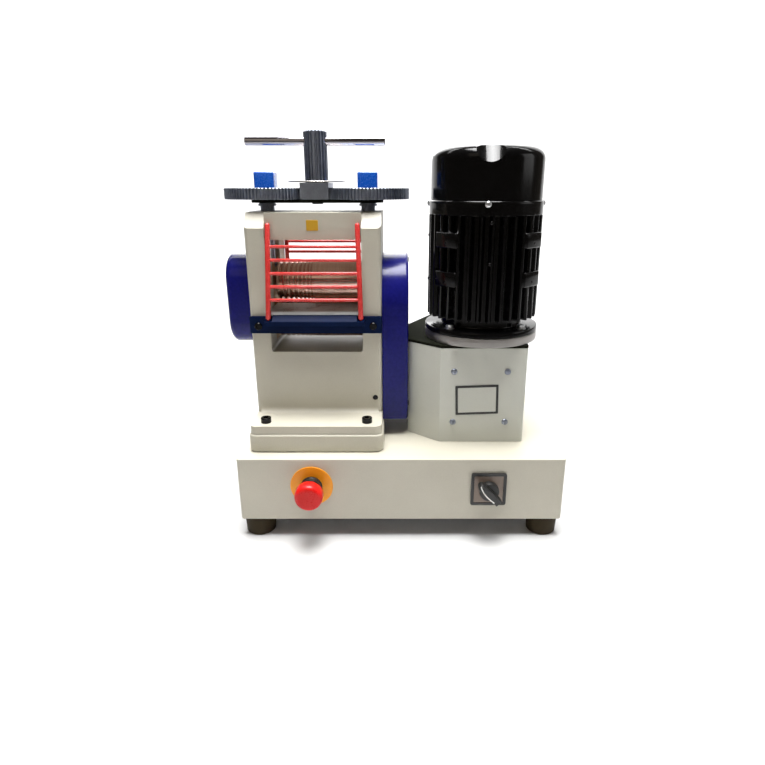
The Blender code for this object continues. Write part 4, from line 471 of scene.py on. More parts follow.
# %% Metals
finish("polished_steel", (0.58, 0.40, 0.32), (0.76, 0.56, 0.47), (0.10, 0.20), 1.0, patch=35,
       stretch=(1.0, 0.02, 0.02), raise_by=0.1, height=0.00004)
finish("brushed_steel", (0.50, 0.50, 0.49), (0.66, 0.66, 0.65), (0.24, 0.4), 1.0, patch=30, grain=1500,
       stretch=(0.03, 1.0, 1.0), raise_by=0.1, height=0.00005)
finish("dark_gear_steel", (0.24, 0.265, 0.33), (0.36, 0.39, 0.46), (0.34, 0.5), 1.0)
finish("chrome_plated_steel", (0.30, 0.29, 0.32), (0.36, 0.35, 0.38), (0.05, 0.13), 1.0, patch=50,
       grain=500, raise_by=0.05)
finish("satin_aluminium", (0.37, 0.355, 0.34), (0.44, 0.425, 0.41), (0.34, 0.48), 1.0, patch=50, grain=1200,
       stretch=(0.05, 0.05, 1.0), raise_by=0.08, height=0.00005)
finish("zinc_plated_steel", (0.50, 0.51, 0.52), (0.68, 0.69, 0.70), (0.25, 0.42), 1.0, patch=70, grain=400)
finish("bearing_bronze", (0.36, 0.23, 0.10), (0.50, 0.34, 0.16), (0.3, 0.5), 1.0, grain=800)
finish("laminated_steel", (0.20, 0.20, 0.21), (0.34, 0.34, 0.35), (0.4, 0.6), 1.0, patch=25, grain=1400,
       stretch=(0.02, 0.02, 1))
print("paints and metals:", len(finishes))

# %% [markdown]
# The button, its disc, the switch and the feet are moulded, which leaves a soft, even gloss.

# %% Plastics and rubber
finish("red_plastic", (0.56, 0.006, 0.005), (0.64, 0.012, 0.010), (0.24, 0.36), patch=50, grain=600,
       gloss=0.3)
finish("yellow_plastic", (0.86, 0.31, 0.004), (0.93, 0.37, 0.010), (0.3, 0.42))
finish("black_plastic", (0.008, 0.008, 0.008), (0.015, 0.015, 0.014), (0.28, 0.42), patch=50, grain=1000)
finish("dark_plastic", (0.19, 0.145, 0.115), (0.24, 0.185, 0.15), (0.3, 0.42), patch=40)
finish("black_rubber", (0.028, 0.020, 0.009), (0.042, 0.030, 0.014), (0.6, 0.8), grain=700,
       raise_by=0.5, height=0.0003, gloss=0.2)
# Near-white colour of the painted highlight strip on the switch knob.
finish("painted_rim_highlight", (0.86, 0.85, 0.82), (0.90, 0.89, 0.86), (0.4, 0.5))
finish("ochre_plate", (0.58, 0.33, 0.020), (0.62, 0.36, 0.030), (0.3, 0.42))
finish("cool_grey_paint", (0.53, 0.54, 0.49), (0.59, 0.60, 0.545), (0.34, 0.5), patch=14, grain=1100,
       raise_by=0.3, height=0.0001)
print("finishes:", len(finishes))

# %% [markdown]
# The floor is a pale matt sheet with hardly any grain.

# %% Floor finish
finish("studio_sheet", (0.57, 0.57, 0.57), (0.59, 0.59, 0.59), (0.75, 0.85), patch=2, grain=40,
       raise_by=0.02, gloss=0.1)
floor.data.materials.append(finishes["studio_sheet"])
print("floor finish:", floor.data.materials[0].name)

# %% [markdown]
# ## Cabinet
# The mill stands on a box folded from sheet steel. It could be a bevelled cube, but the real one
# has a round bend at each upright corner and tight bends along the top, so the outline with round
# corners is extruded first and the top edge is softened after. It is hollow below.

# %% Cabinet, bottom plate and plinth
SHEET, SHEET_BEND, SHEET_EDGE = 0.002, 0.005, 0.0011
BUTTON_HOLE, SWITCH_HOLE, GLAND_HOLE = 0.0115, 0.011, 0.0083
low, high = cabinet_low, cabinet_high
cabinet = plate("cabinet", rounded(low, high, SHEET_BEND), low.z, high.z)
inner = rounded(low, high, SHEET_BEND - SHEET, inset=SHEET)
cut(cabinet, plate("inside", inner, low.z - SHEET, high.z - SHEET))
for node, radius in (("estop_collar", BUTTON_HOLE), ("switch_plate", SWITCH_HOLE)):
    hole = middle(node)
    cut(cabinet, pin("hole", radius, -SHEET, 2 * SHEET, "Y", (hole.x, low.y, hole.z)))
gland = middle("mains_gland")
cut(cabinet, pin("hole", GLAND_HOLE, -2 * SHEET, SHEET, "Y", (gland.x, high.y, gland.z)))
soften(cabinet, SHEET_EDGE)
place(cabinet, "frame", "warm_grey_paint", "base_cabinet")

low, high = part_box("mill_plinth")
plinth = plate("plinth", rounded(low, high, 0.012), low.z, high.z)
soften(plinth, 0.0025, 4)
place(plinth, "frame", "warm_grey_paint", "mill_plinth")

# %% [markdown]
# A rubber foot tapers a little to the bench and has a counterbore for its screw from below. One is
# turned and the others are copies of it.

# %% Feet and their screws
low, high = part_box("front_left_foot")
foot_at = (low + high) / 2
wide = (high.x - low.x) / 2
profile = [(0, 0.009), (0.0068, 0.009), (0.0075, 0.0083), (0.0075, 0.0008), (0.0083, 0), (wide - 0.0032, 0)]
profile += [(wide - 0.0017, 0.0015), (wide - 0.0004, high.z - 0.0025), (wide - 0.0010, high.z - 0.0006)]
profile += [(wide - 0.0024, high.z), (0, high.z)]
foot = smooth(turned("foot", profile, "Z", (foot_at.x, foot_at.y, 0), 72))
profile = [(0, 0.0035), (0.0022, 0.0035), (0.0026, 0.0055), (0.0052, 0.0055), (0.0060, 0.0063)]
profile += [(0.0060, 0.0088), (0, 0.0088)]
screw = smooth(turned("foot_screw", profile, "Z", (foot_at.x, foot_at.y, 0), 32))
for side in ("front_left", "front_right", "rear_left", "rear_right"):
    move = shift(middle(f"{side}_foot") - foot_at)
    place(copies(foot, f"{side}_rubber_foot", [move])[0], "frame", "black_rubber", f"{side}_foot")
    place(copies(screw, f"{side}_foot_screw", [move])[0], "frame", "zinc_plated_steel")
bpy.data.objects.remove(foot)
bpy.data.objects.remove(screw)
print("feet at", round(foot_at.x, 4), round(foot_at.y, 4))

# %% [markdown]
# ## Mill frame
# The frame is one casting: a wide foot, two posts, a window between them for the rolls and a
# crosspiece on top. It could be sculpted, but a casting of this kind is made from simple blocks, so
# plates are welded, the window is cut through, and one soft bevel rounds all the edges as paint does.

# %% Frame blocks
low, high = frame_low, frame_high
HALF_DEPTH, FOOT_TOP, FILLET = 0.070, low.z + 0.0122, 0.008
mill = plate("mill", rounded(low, high, 0.011), low.z, FOOT_TOP)
body = rounded((low.x, HEAD_Y - HALF_DEPTH), (high.x, HEAD_Y + HALF_DEPTH), 0.006)
flare = HALF_DEPTH + FILLET
skirt = [(HEAD_Y + flare, FOOT_TOP - 0.002)] + arc(FILLET, (HEAD_Y + flare, FOOT_TOP + FILLET), 270, 180)
skirt += arc(FILLET, (HEAD_Y - flare, FOOT_TOP + FILLET), 0, -90) + [(HEAD_Y - flare, FOOT_TOP - 0.002)]
weld(mill, plate("body", body, low.z + 0.002, high.z),
     plate("skirt", skirt, low.x + 0.006, high.x - 0.006, "X"))
print("frame blocks:", len(mill.data.polygons), "faces")

# %% Frame window, crosspiece, slots and screw bores
WINDOW_HALF, SILL, HEAD_OF_WINDOW, ROUND = 0.065, low.z + 0.1037, low.z + 0.2582, 0.004
window = arc(ROUND, (HEAD_X - WINDOW_HALF + ROUND, SILL + ROUND), 180, 270)
window += arc(ROUND, (HEAD_X + WINDOW_HALF - ROUND, SILL + ROUND), 270, 360)
window += [(HEAD_X + WINDOW_HALF, HEAD_OF_WINDOW), (HEAD_X - WINDOW_HALF, HEAD_OF_WINDOW)]
past = HALF_DEPTH + 0.002
cut(mill, plate("window", window, HEAD_Y - past, HEAD_Y + past, "Y"))
face = HALF_DEPTH - 0.009
for near, far in ((-past, -face), (face, past)):
    cut(mill, block("recess", (HEAD_X - WINDOW_HALF, HEAD_Y + near, HEAD_OF_WINDOW - 0.002),
                    (HEAD_X + WINDOW_HALF, HEAD_Y + far, high.z + 0.002)))
for side in (-1, 1):
    wedge = [(HEAD_Y + side * (HALF_DEPTH - 0.022), high.z + 0.002), (HEAD_Y + side * past, high.z + 0.002)]
    wedge += [(HEAD_Y + side * past, high.z - 0.022)]
    cut(mill, plate("chamfer", wedge, low.x - 0.002, HEAD_X - WINDOW_HALF, "X"))
    cut(mill, plate("chamfer", wedge, HEAD_X + WINDOW_HALF, high.x + 0.002, "X"))
SLOT_HALF, NECK_ROOM, slot_low = 0.0303, 0.016, LOWER_Z - 0.0283
for side in (-1, 1):
    ends = sorted((HEAD_X + side * (WINDOW_HALF - 0.002), HEAD_X + side * (WINDOW_HALF + 0.0214)))
    cut(mill, block("slot", (ends[0], HEAD_Y - SLOT_HALF, slot_low),
                    (ends[1], HEAD_Y + SLOT_HALF, HEAD_OF_WINDOW - 0.002)))
    neck = arc(NECK_ROOM, (HEAD_Y, UPPER_Z + 0.005), 0, 180) + arc(NECK_ROOM, (HEAD_Y, LOWER_Z), 180, 360)
    ends = sorted((HEAD_X + side * (WINDOW_HALF + 0.019), HEAD_X + side * 0.094))
    cut(mill, plate("neck_slot", neck, *ends, "X"))
    bore_x = middle("left_screw" if side < 0 else "right_screw").x
    cut(mill, pin("bore", 0.0103, HEAD_OF_WINDOW - 0.004, high.z + 2 * OVER, "Z", (bore_x, HEAD_Y, 0)))
soften(mill, 0.0014)
place(mill, "frame", "warm_grey_paint", "mill_frame")

# %% [markdown]
# ## Rolls
# A roll is one turned piece: wide wire grooves on the left that get finer to the right, a polished
# flat on the right half, and a neck at each end that runs in a bearing block. Its section is traced
# as a lathe hand would read it off the drawing and then spun round the roll's axis.

# %% Both rolls
ROLL, NECK, SEAT, FACE_HALF, SEAT_AT = 0.028, 0.013, 0.011, 0.062, 0.0977
GROOVES, WIDEST, NARROWEST, LAND, FLAT = 8, 0.0058, 0.0022, 0.0024, 0.0003


def roll(name, node, axis_z):
    low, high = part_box(node)
    left, right = low.x - HEAD_X, high.x - HEAD_X
    profile = [(0, left), (SEAT - 0.001, left), (SEAT, left + 0.001), (SEAT, -0.0957), (NECK, -0.0957)]
    profile += [(NECK, -FACE_HALF), (ROLL - 0.001, -FACE_HALF), (ROLL, 0.001 - FACE_HALF)]
    at = 0.0035 - FACE_HALF
    for number in range(GROOVES):
        width = WIDEST + (NARROWEST - WIDEST) * number / (GROOVES - 1)
        bottom = ROLL - width / 2 + FLAT
        deepest = at + width / 2
        profile += [(ROLL, at), (bottom, deepest - FLAT), (bottom, deepest + FLAT), (ROLL, at + width)]
        at += width + LAND
    profile += [(ROLL, FACE_HALF - 0.001), (ROLL - 0.001, FACE_HALF), (NECK, FACE_HALF)]
    if right > SEAT_AT:
        profile += [(NECK, SEAT_AT), (SEAT, SEAT_AT), (SEAT, right), (0, right)]
    else:
        profile += [(NECK, right), (0, right)]
    return smooth(turned(name, profile, "X", (HEAD_X, HEAD_Y, axis_z), 96), 25)


for word, level in (("upper", UPPER_Z), ("lower", LOWER_Z)):
    node = f"{word}_roll"
    place(roll(f"{word}_work_roll", node, level), node, "polished_steel", node)

# %% [markdown]
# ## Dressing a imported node
# Some pieces have their true shape already and lack only broken edges. A copy of such a node is
# merged, its flat faces are joined, and a small bevel is added. Modelling it again would gain nothing.

# %% Bearing blocks


def dressed(name, node, width, segments=2):
    mesh = nodes[node].data.copy()
    made = bpy.data.objects.new(name, mesh)
    bpy.context.scene.collection.objects.link(made)
    take(made)
    bpy.ops.mesh.customdata_custom_splitnormals_clear()
    mode("EDIT")
    bpy.ops.mesh.select_all(action="SELECT")
    bpy.ops.mesh.remove_doubles(threshold=0.00001)
    bpy.ops.mesh.dissolve_limited(angle_limit=radians(1))
    mode("OBJECT")
    return soften(made, width, segments)


for word, body in (("upper", "upper_blocks"), ("lower", "frame")):
    for side in ("left", "right"):
        node, name = f"{word}_{side}_bearing_block", f"{word}_{side}_bronze_block"
        place(dressed(name, node, 0.0006), body, "bearing_bronze", node)

# %% [markdown]
# ## Roll guards
# The guard in front of the rolls, and its twin behind them, is welded from round bar: two rails and
# five rods. Each bar is turned with round ends, because a plain cylinder shows a hard cut end. The
# rails lean towards the operator at the foot and spread a little, so the rods grow longer downwards.

# %% Guards of round bar
RAIL, ROD, RAIL_X, SPLAY, LEAN = 0.0035, 0.00225, 0.060, 0.0037, 0.019
BAR_THICK, SHELF_RISE, SHELF_THICK, LIP_RUN = 0.0043, 0.0135, 0.006, 0.009
bar_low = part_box("front_guard_bar")[0]
shelf_low, shelf_front = bar_low.z + SHELF_RISE, HEAD_Y - bar_low.y
shelf_top = shelf_low + SHELF_THICK
rail_top, rail_y = frame_high.z - 0.013, HALF_DEPTH - 0.009 + 0.0004 + RAIL
drop = rail_top - shelf_top - 0.0008


def bar(name, radius, low, high, axis, edge, centre=(0, 0, 0), steps=28):
    """A round bar. An edge as large as the radius makes its ends half balls."""
    ends = [(0, 0)] + [(radius - edge * (1 - y), edge * (1 - x)) for x, y in quarter(3)]
    profile = [(r, low + h) for r, h in ends] + [(r, high - h) for r, h in reversed(ends)]
    return turned(name, profile, axis, centre, steps)


def guard(name, side, rod_shares):
    bars = []
    for end in (-1, 1):
        down = Vector((end * SPLAY, -LEAN, -drop))
        rail = bar("rail", RAIL, -down.length, 0, "Z", RAIL)
        turn = Vector((0, 0, -1)).rotation_difference(down).to_matrix().to_4x4()
        rail.data.transform(shift((end * RAIL_X, 0, 0)) @ turn)
        bars.append(rail)
    for share in rod_shares:
        rod = bar("rod", ROD, -RAIL_X - SPLAY * share, RAIL_X + SPLAY * share, "X", ROD)
        rod.data.transform(shift((0, -LEAN * share, -drop * share)))
        bars.append(rod)
    made = united(name, bars)
    turn = turn_by(0 if side < 0 else 180)
    at_head = shift(HEAD)
    made.data.transform(at_head @ turn @ shift((0, -rail_y, rail_top)))
    return smooth(made)


FRONT_SHARES, REAR_SHARES = (0.239, 0.375, 0.512, 0.648, 0.785), (0.275, 0.400, 0.525, 0.650, 0.775)
place(guard("front_rod_guard", -1, FRONT_SHARES), "frame", "coral_red_paint", "front_roll_guard")
place(guard("rear_rod_guard", 1, REAR_SHARES), "frame", "coral_red_paint", "rear_roll_guard")

# %% [markdown]
# A navy bar is screwed to the posts under each guard. It has a shelf for the rails to stand on, and
# between the rails a slanting lip, which leads the sheet up on to the bright feed table.

# %% Guard bars and feed tables


def guard_bar(name, node, side):
    low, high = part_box(node)
    near, far = HALF_DEPTH + 0.0003, HALF_DEPTH + BAR_THICK
    sunk, shelf_half, lip_half = far - 0.002, RAIL_X + SPLAY + RAIL + 0.001, RAIL_X + SPLAY - RAIL - 0.002

    def ledge(name, points, half):
        return plate(name, [(HEAD_Y + side * y, z) for y, z in points], HEAD_X - half, HEAD_X + half, "X")

    strap = [(near, low.z), (far, low.z), (far, low.z + 0.024), (near, low.z + 0.024)]
    made = ledge(name, strap, (high.x - low.x) / 2)
    shelf = [(sunk, shelf_low), (shelf_front, shelf_low), (shelf_front, shelf_top), (sunk, shelf_top)]
    weld(made, ledge("shelf", shelf, shelf_half))
    back, front, foot = sunk - 0.0003, shelf_front - 0.0003, shelf_low + 0.003
    lip = [(back, foot), (front, foot), (front, shelf_top), (front, shelf_top + 0.0003)]
    lip += [(shelf_front - LIP_RUN, high.z), (back, high.z)]
    weld(made, ledge("lip", lip, lip_half))
    return soften(made, 0.0005)


for word, side in (("front", -1), ("rear", 1)):
    node, table = f"{word}_guard_bar", f"{word}_feed_table"
    place(guard_bar(f"{word}_navy_bar", node, side), "frame", "navy_paint", node)
    place(dressed(f"{word}_bright_table", table, 0.0004), "frame", "brushed_steel", table)

# %% [markdown]
# ## Gear covers
# The covers are deep drawn: their outer edge is round all the way along the outline. A bevel would
# also round the rim against the frame, so the outer face is inset in small steps instead, each step
# a little further in and a little further out, which draws the quarter circle one step at a time.

# %% A plate with one domed face


def dome(piece, axis, way, radius, steps=8):
    """Insets the face that looks along the axis, step by step, into a round edge."""
    face_on = in_space((0, 0), way, axis)
    take(piece)
    for part in (piece.data.vertices, piece.data.edges, piece.data.polygons):
        part.foreach_set("select", [False] * len(part))
    for polygon in piece.data.polygons:
        polygon.select = polygon.normal.dot(face_on) > 0.99
    mode("EDIT")
    bpy.ops.mesh.select_mode(type="FACE")
    for step in range(steps):
        before, after = (radians(90 * s / steps) for s in (step, step + 1))
        in_by = radius * (cos(before) - cos(after))
        bpy.ops.mesh.inset(thickness=in_by, depth=radius * (sin(after) - sin(before)),
                           use_boundary=True)
    bpy.ops.mesh.select_mode(type="VERT")
    mode("OBJECT")
    return piece


def stadium(radius, low_z, high_z):
    return arc(radius, (HEAD_Y, high_z), 0, 180, 24) + arc(radius, (HEAD_Y, low_z), 180, 360, 24)


low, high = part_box("left_gear_cover")
wide, rim, DRAWN = (high.y - low.y) / 2, 0.009, 0.0015
ends = (low.z + wide, high.z - wide)
left_cover = dome(plate("left_blue_cover", stadium(wide, *ends), low.x + rim, high.x, "X"), "X", -1, rim)
hollow = plate("hollow", stadium(wide - DRAWN, *ends), low.x + rim, high.x + 0.002, "X")
cut(left_cover, dome(hollow, "X", -1, rim - DRAWN))
place(smooth(left_cover, 40), "frame", "ultramarine_paint", "left_gear_cover")

# %% The tall right cover
low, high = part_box("right_gear_cover")
wide, rim = (high.y - low.y) / 2, 0.004
output = middle("pinion_shaft")


def arch(inside):
    points = arc(wide - inside, (HEAD_Y, high.z - wide), 0, 180, 32)
    return points + [(HEAD_Y - wide + inside, low.z + inside), (HEAD_Y + wide - inside, low.z + inside)]


right_cover = dome(plate("right_blue_cover", arch(0), low.x, high.x - rim, "X"), "X", 1, rim, 5)
hollow = plate("hollow", arch(SHEET), low.x - SHEET, high.x - rim, "X")
cut(right_cover, dome(hollow, "X", 1, rim - SHEET, 5))
OUTPUT_HOLE = 0.013
cut(right_cover, pin("hole", OUTPUT_HOLE, high.x - 0.004, high.x + 2 * OVER, "X", (0, output.y, output.z)))
place(smooth(right_cover, 40), "frame", "ultramarine_paint", "right_gear_cover")

# %% [markdown]
# ## Screw down gear
# Two screws press the upper roll down. Each carries a gear of 76 teeth, and both gears mesh with
# one small pinion under the tee bar, so a turn of the bar moves both screws by the same amount.

# %% Yoke plate, screws and screw gears
GEAR_TEETH, PINION_TEETH, GEAR_MODULE, ADDENDUM, DEDENDUM = 76, 20, 0.0015, 0.88, 1.2
YOKE_BORE, JOURNAL_BORE = 0.0104, 0.0085
ROOT_SHARE, TIP_SHARE = 0.27, 0.15
yoke_low, yoke_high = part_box("yoke_plate")
wide = (yoke_high.y - yoke_low.y) / 2
screw_x = {"left": middle("left_screw").x, "right": middle("right_screw").x}
race = [(screw_x["right"] + x, HEAD_Y + y) for x, y in arc(wide, (0, 0), -90, 90, 20)]
race += [(screw_x["left"] + x, HEAD_Y + y) for x, y in arc(wide, (0, 0), 90, 270, 20)]
yoke = plate("dark_yoke", race, yoke_low.z, yoke_high.z)
for x, radius in zip((*screw_x.values(), middle("handle_pinion").x), (YOKE_BORE, YOKE_BORE, JOURNAL_BORE)):
    cut(yoke, pin("hole", radius, yoke_low.z - OVER, yoke_high.z + OVER, "Z", (x, HEAD_Y, 0)))
place(soften(yoke, 0.0006), "adjuster_yoke", "dark_painted_plate", "yoke_plate")

pitch = GEAR_TEETH * GEAR_MODULE / 2
tip = pitch + ADDENDUM * GEAR_MODULE


def flanks(root, tip):
    """The section of a gear tooth with straight sides."""
    return (root, -ROOT_SHARE), (tip, -TIP_SHARE), (tip, TIP_SHARE), (root, ROOT_SHARE)


for side in ("left", "right"):
    gear_low, gear_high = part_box(f"{side}_screw_gear")
    at = (screw_x[side], HEAD_Y)
    section = flanks(pitch - DEDENDUM * GEAR_MODULE, tip)
    teeth = toothed(GEAR_TEETH, section, at, pi / GEAR_TEETH)
    gear = plate(f"{side}_toothed_gear", teeth, gear_low.z, gear_high.z)
    cut(gear, pin("bore", YOKE_BORE, gear_low.z - OVER, gear_high.z + OVER, "Z", (*at, 0)))
    for level, way in ((gear_high.z, -1), (gear_low.z, 1)):
        ring = [(tip + 0.001, level - way * 0.001), (tip - 0.0008, level - way * 0.001),
                (tip - 0.0008, level)]
        ring += [(tip + 0.0004, level + way * 0.0012), (tip + 0.001, level + way * 0.0012)]
        cut(gear, turned("chamfer", ring, "Z", (*at, 0), 76))
    place(smooth(gear, 30), f"{side}_adjusting_screw", "dark_gear_steel", f"{side}_screw_gear")

# %% Turned screws and blue caps
BUTTON, NOSE, SCREW, COLLAR, HUB, PEG, CAP_EDGE = 0.0093, 0.0063, 0.010, 0.013, 0.0116, 0.0058, 0.002
for side in ("left", "right"):
    low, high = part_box(f"{side}_screw")
    cap_low, cap_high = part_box(f"{side}_screw_cap")
    collar, gear_top = frame_high.z + 0.007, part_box(f"{side}_screw_gear")[1].z
    button_top = UPPER_Z + 0.0243
    profile = [(0, low.z), (BUTTON - 0.0005, low.z), (BUTTON, low.z + 0.0005), (BUTTON, button_top)]
    profile += [(NOSE, button_top), (NOSE, HEAD_OF_WINDOW), (SCREW, HEAD_OF_WINDOW), (SCREW, collar)]
    profile += [(COLLAR - 0.0004, collar), (COLLAR, collar + 0.0004), (COLLAR, collar + 0.0026)]
    profile += [(HUB, collar + 0.0028), (HUB, collar + 0.004), (SCREW, collar + 0.004), (SCREW, gear_top)]
    profile += [(PEG, gear_top), (PEG, high.z), (0, high.z)]
    screw = turned(f"{side}_turned_screw", profile, "Z", (screw_x[side], HEAD_Y, 0), 48)
    place(smooth(screw, 30), f"{side}_adjusting_screw", "dark_gear_steel", f"{side}_screw")
    half = (cap_high.x - cap_low.x) / 2
    corners = rounded((screw_x[side] - half, HEAD_Y - half), (screw_x[side] + half, HEAD_Y + half),
                      CAP_EDGE, 5)
    cap = dome(plate(f"{side}_blue_cap", corners, cap_low.z, cap_high.z - CAP_EDGE), "Z", 1, CAP_EDGE, 4)
    cut(cap, pin("pocket", 0.0063, cap_low.z - OVER, high.z + 0.0004, "Z", (screw_x[side], HEAD_Y, 0), 32))
    place(smooth(cap, 40), f"{side}_adjusting_screw", "royal_blue_paint", f"{side}_screw_cap")

# %% [markdown]
# The pinion turns in a bracket between the two gears. The bracket's sides are hollowed by the
# gears that pass it, so two discs a little larger than the gears are cut out of a plain block.

# %% Bracket, pinion, dial and tee bar
bracket_low, bracket_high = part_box("pinion_bracket")
gear_low, gear_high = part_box("left_screw_gear")
bracket = block("steel_bracket", bracket_low, bracket_high)
WALL, ROOM = 0.012, 0.0006
open_low, open_high = bracket_low.y + WALL, bracket_high.y - WALL
past = 2 * OVER
cut(bracket, block("opening", (bracket_low.x - past, open_low, gear_low.z - past),
                   (bracket_high.x + past, open_high, gear_high.z + 0.0003)))
for x in screw_x.values():
    cut(bracket, pin("room", tip + ROOM, gear_low.z - past, gear_high.z + 0.0003, "Z", (x, HEAD_Y, 0), 192))
pinion_tip = (PINION_TEETH / 2 + ADDENDUM) * GEAR_MODULE
cut(bracket, pin("hole", pinion_tip + ROOM, gear_high.z - past, bracket_high.z + past, "Z",
                 HEAD, 64))
place(soften(bracket, 0.0008), "adjuster_yoke", "dark_gear_steel", "pinion_bracket")

low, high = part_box("handle_pinion")
root, bar_at = (PINION_TEETH / 2 - DEDENDUM) * GEAR_MODULE, middle("tee_bar")
teeth = toothed(PINION_TEETH, flanks(root, pinion_tip), (HEAD_X, HEAD_Y))
pinion = plate("long_pinion", teeth, gear_low.z + 0.0003, high.z)
JOURNAL, journal_top = 0.008, gear_low.z + OVER
profile = [(0, low.z), (JOURNAL - 0.0004, low.z), (JOURNAL, low.z + 0.0004), (JOURNAL, journal_top),
           (0, journal_top)]
weld(pinion, turned("journal", profile, "Z", HEAD, 48))
ring = [(pinion_tip + 0.001, high.z + 0.001), (root - 0.0004, high.z + 0.001), (root - 0.0004, high.z)]
ring += [(pinion_tip + 0.001, high.z - 0.0024)]
cut(pinion, turned("chamfer", ring, "Z", HEAD, 80))
cut(pinion, pin("cross_hole", 0.0063, -0.019, 0.019, "X", (HEAD_X, HEAD_Y, bar_at.z), 40))
place(smooth(pinion, 30), "handle", "dark_gear_steel", "handle_pinion")

low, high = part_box("dial_disc")
DIAL, DIAL_BORE = 0.040, 0.0166
profile = [(DIAL_BORE, low.z), (DIAL - 0.0006, low.z), (DIAL, low.z + 0.0006), (DIAL, high.z - 0.0004)]
profile += [(DIAL - 0.0004, high.z), (DIAL_BORE, high.z)]
dial = turned("thin_dial", profile, "Z", HEAD, 128)
place(smooth(dial), "handle", "satin_aluminium", "dial_disc")

low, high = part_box("tee_bar")
half = (high.x - low.x) / 2
tee = bar("chrome_tee_bar", 0.006, -half, half, "X", 0.0015, (HEAD_X, HEAD_Y, bar_at.z), 64)
place(smooth(tee), "handle", "chrome_plated_steel", "tee_bar")

# %% [markdown]
# ## Worm gearbox and motor
# The gearbox cover is one sheet folded round the worm gearbox. Its outline has two slanting
# corners, and the dark motor plate closes it at the top. The motor stands upright above it: a
# bright adapter ring, a black flange, a finned housing, an end shield and a pressed fan cowl.

# %% Gearbox cover and motor plate
low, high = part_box("gearbox_cover")
plate_low, plate_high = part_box("motor_plate")
SLANT_FRONT, SLANT_BACK, CORNER = (0.044, 0.038), (0.0397, 0.0742), 0.004


def gearbox_outline(inset):
    """The plan of the cover: a rectangle with its two left corners cut on a slant."""
    left, right, front, back = low.x + inset, high.x - inset, low.y + inset, high.y - inset
    points = [(left, front + SLANT_FRONT[1]), (left + SLANT_FRONT[0], front)]
    points += arc(CORNER, (right - CORNER, front + CORNER), 270, 360, 6)
    points += arc(CORNER, (right - CORNER, back - CORNER), 0, 90, 6)
    return points + [(left + SLANT_BACK[0], back), (left, back - SLANT_BACK[1])]


cover = plate("gearbox_sheet_cover", gearbox_outline(0), low.z, high.z)
cut(cover, plate("inside", gearbox_outline(SHEET), low.z - SHEET, high.z + SHEET))
cut(cover, pin("hole", OUTPUT_HOLE, low.x - 0.006, low.x + 0.006, "X", (0, output.y, output.z)))
place(soften(cover, 0.0009), "frame", "warm_grey_paint", "gearbox_cover", look="cool_grey_paint")

MOUTH = 0.050
motor_plate = plate("dark_motor_plate", gearbox_outline(0), plate_low.z, plate_high.z)
cut(motor_plate, pin("mouth", MOUTH, plate_low.z - OVER, plate_high.z + OVER, "Z", MOTOR, 96))
place(soften(motor_plate, 0.0006), "frame", "dark_painted_plate", "motor_plate")

# %% [markdown]
# Turned pieces of the motor share one axis. Their edges are broken in the profile itself, which
# costs nothing and keeps the spin clean.

# %% Adapter ring, flange and end shield


SHAFT_BORE = 0.0104


def on_motor(name, profile, steps=128):
    return smooth(turned(name, profile, "Z", MOTOR, steps))


low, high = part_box("adapter_ring")
wide = (high.x - low.x) / 2
profile = [(MOUTH, low.z), (wide - 0.0006, low.z), (wide, low.z + 0.0006), (wide, high.z - 0.0014)]
profile += [(wide - 0.0002, high.z - 0.0006), (wide - 0.0010, high.z), (MOUTH, high.z)]
place(on_motor("bright_adapter_ring", profile), "frame", "satin_aluminium", "adapter_ring")

low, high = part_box("motor_flange")
FLANGE_THICK = 0.0077
wide, neck, top = (high.x - low.x) / 2, 0.058, low.z + FLANGE_THICK
profile = [(SHAFT_BORE, low.z), (wide - 0.0010, low.z), (wide, low.z + 0.0010), (wide, top - 0.0016)]
profile += [(wide - 0.0005, top - 0.0005), (wide - 0.0016, top)]
profile += arc(0.0025, (neck + 0.0025, top + 0.0025), 270, 180, 5)
profile += [(neck, high.z), (SHAFT_BORE, high.z)]
place(on_motor("black_flange", profile), "frame", "gloss_black_paint", "motor_flange")

low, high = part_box("motor_end_shield")
wide, spigot, rim = (high.x - low.x) / 2, 0.0742, low.z + 0.019
profile = [(SHAFT_BORE, low.z), (wide - 0.0008, low.z), (wide, low.z + 0.0008), (wide, rim - 0.0045)]
profile += arc(0.0035, (wide - 0.0035, rim - 0.0035), 0, 90, 6)
profile += [(spigot, rim), (spigot, high.z), (SHAFT_BORE, high.z)]
place(on_motor("black_end_shield", profile), "frame", "gloss_black_paint", "motor_end_shield")

# %% [markdown]
# The motor housing is cast with 32 upright fins. Each fin narrows to a rounded edge, so a tooth
# outline is drawn with nine points a fin and extruded up. Four flat pads stand on the fins; on the
# real motor they take feet or a name plate, and here they stay bare.

# %% Finned motor housing
low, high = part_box("motor_housing")
FINS, FIN_ROOT, FIN_TIP, HOUSING_BORE = 32, 0.068, 0.078, 0.056
half_fin = [(FIN_ROOT, 0.30), (FIN_ROOT + 0.0012, 0.22), (FIN_TIP - 0.0015, 0.15), (FIN_TIP - 0.0002, 0.09)]
fin_section = [(radius, -share) for radius, share in half_fin] + [(FIN_TIP, 0)] + half_fin[::-1]
fins = toothed(FINS, fin_section, (MOTOR_X, MOTOR_Y))
housing = plate("finned_motor_housing", fins, low.z, high.z)
cut(housing, pin("bore", HOUSING_BORE, low.z - OVER, high.z + OVER, "Z", MOTOR, 96))
PAD_ANGLE, PAD_HALF, PAD_TALL, PAD_FOOT, PAD_REACH = 47, 0.018, 0.010, 0.062, 0.0805
PAD_ANGLES, PAD_RISES = (-90 - PAD_ANGLE, PAD_ANGLE - 90), (0.056, 0.107)
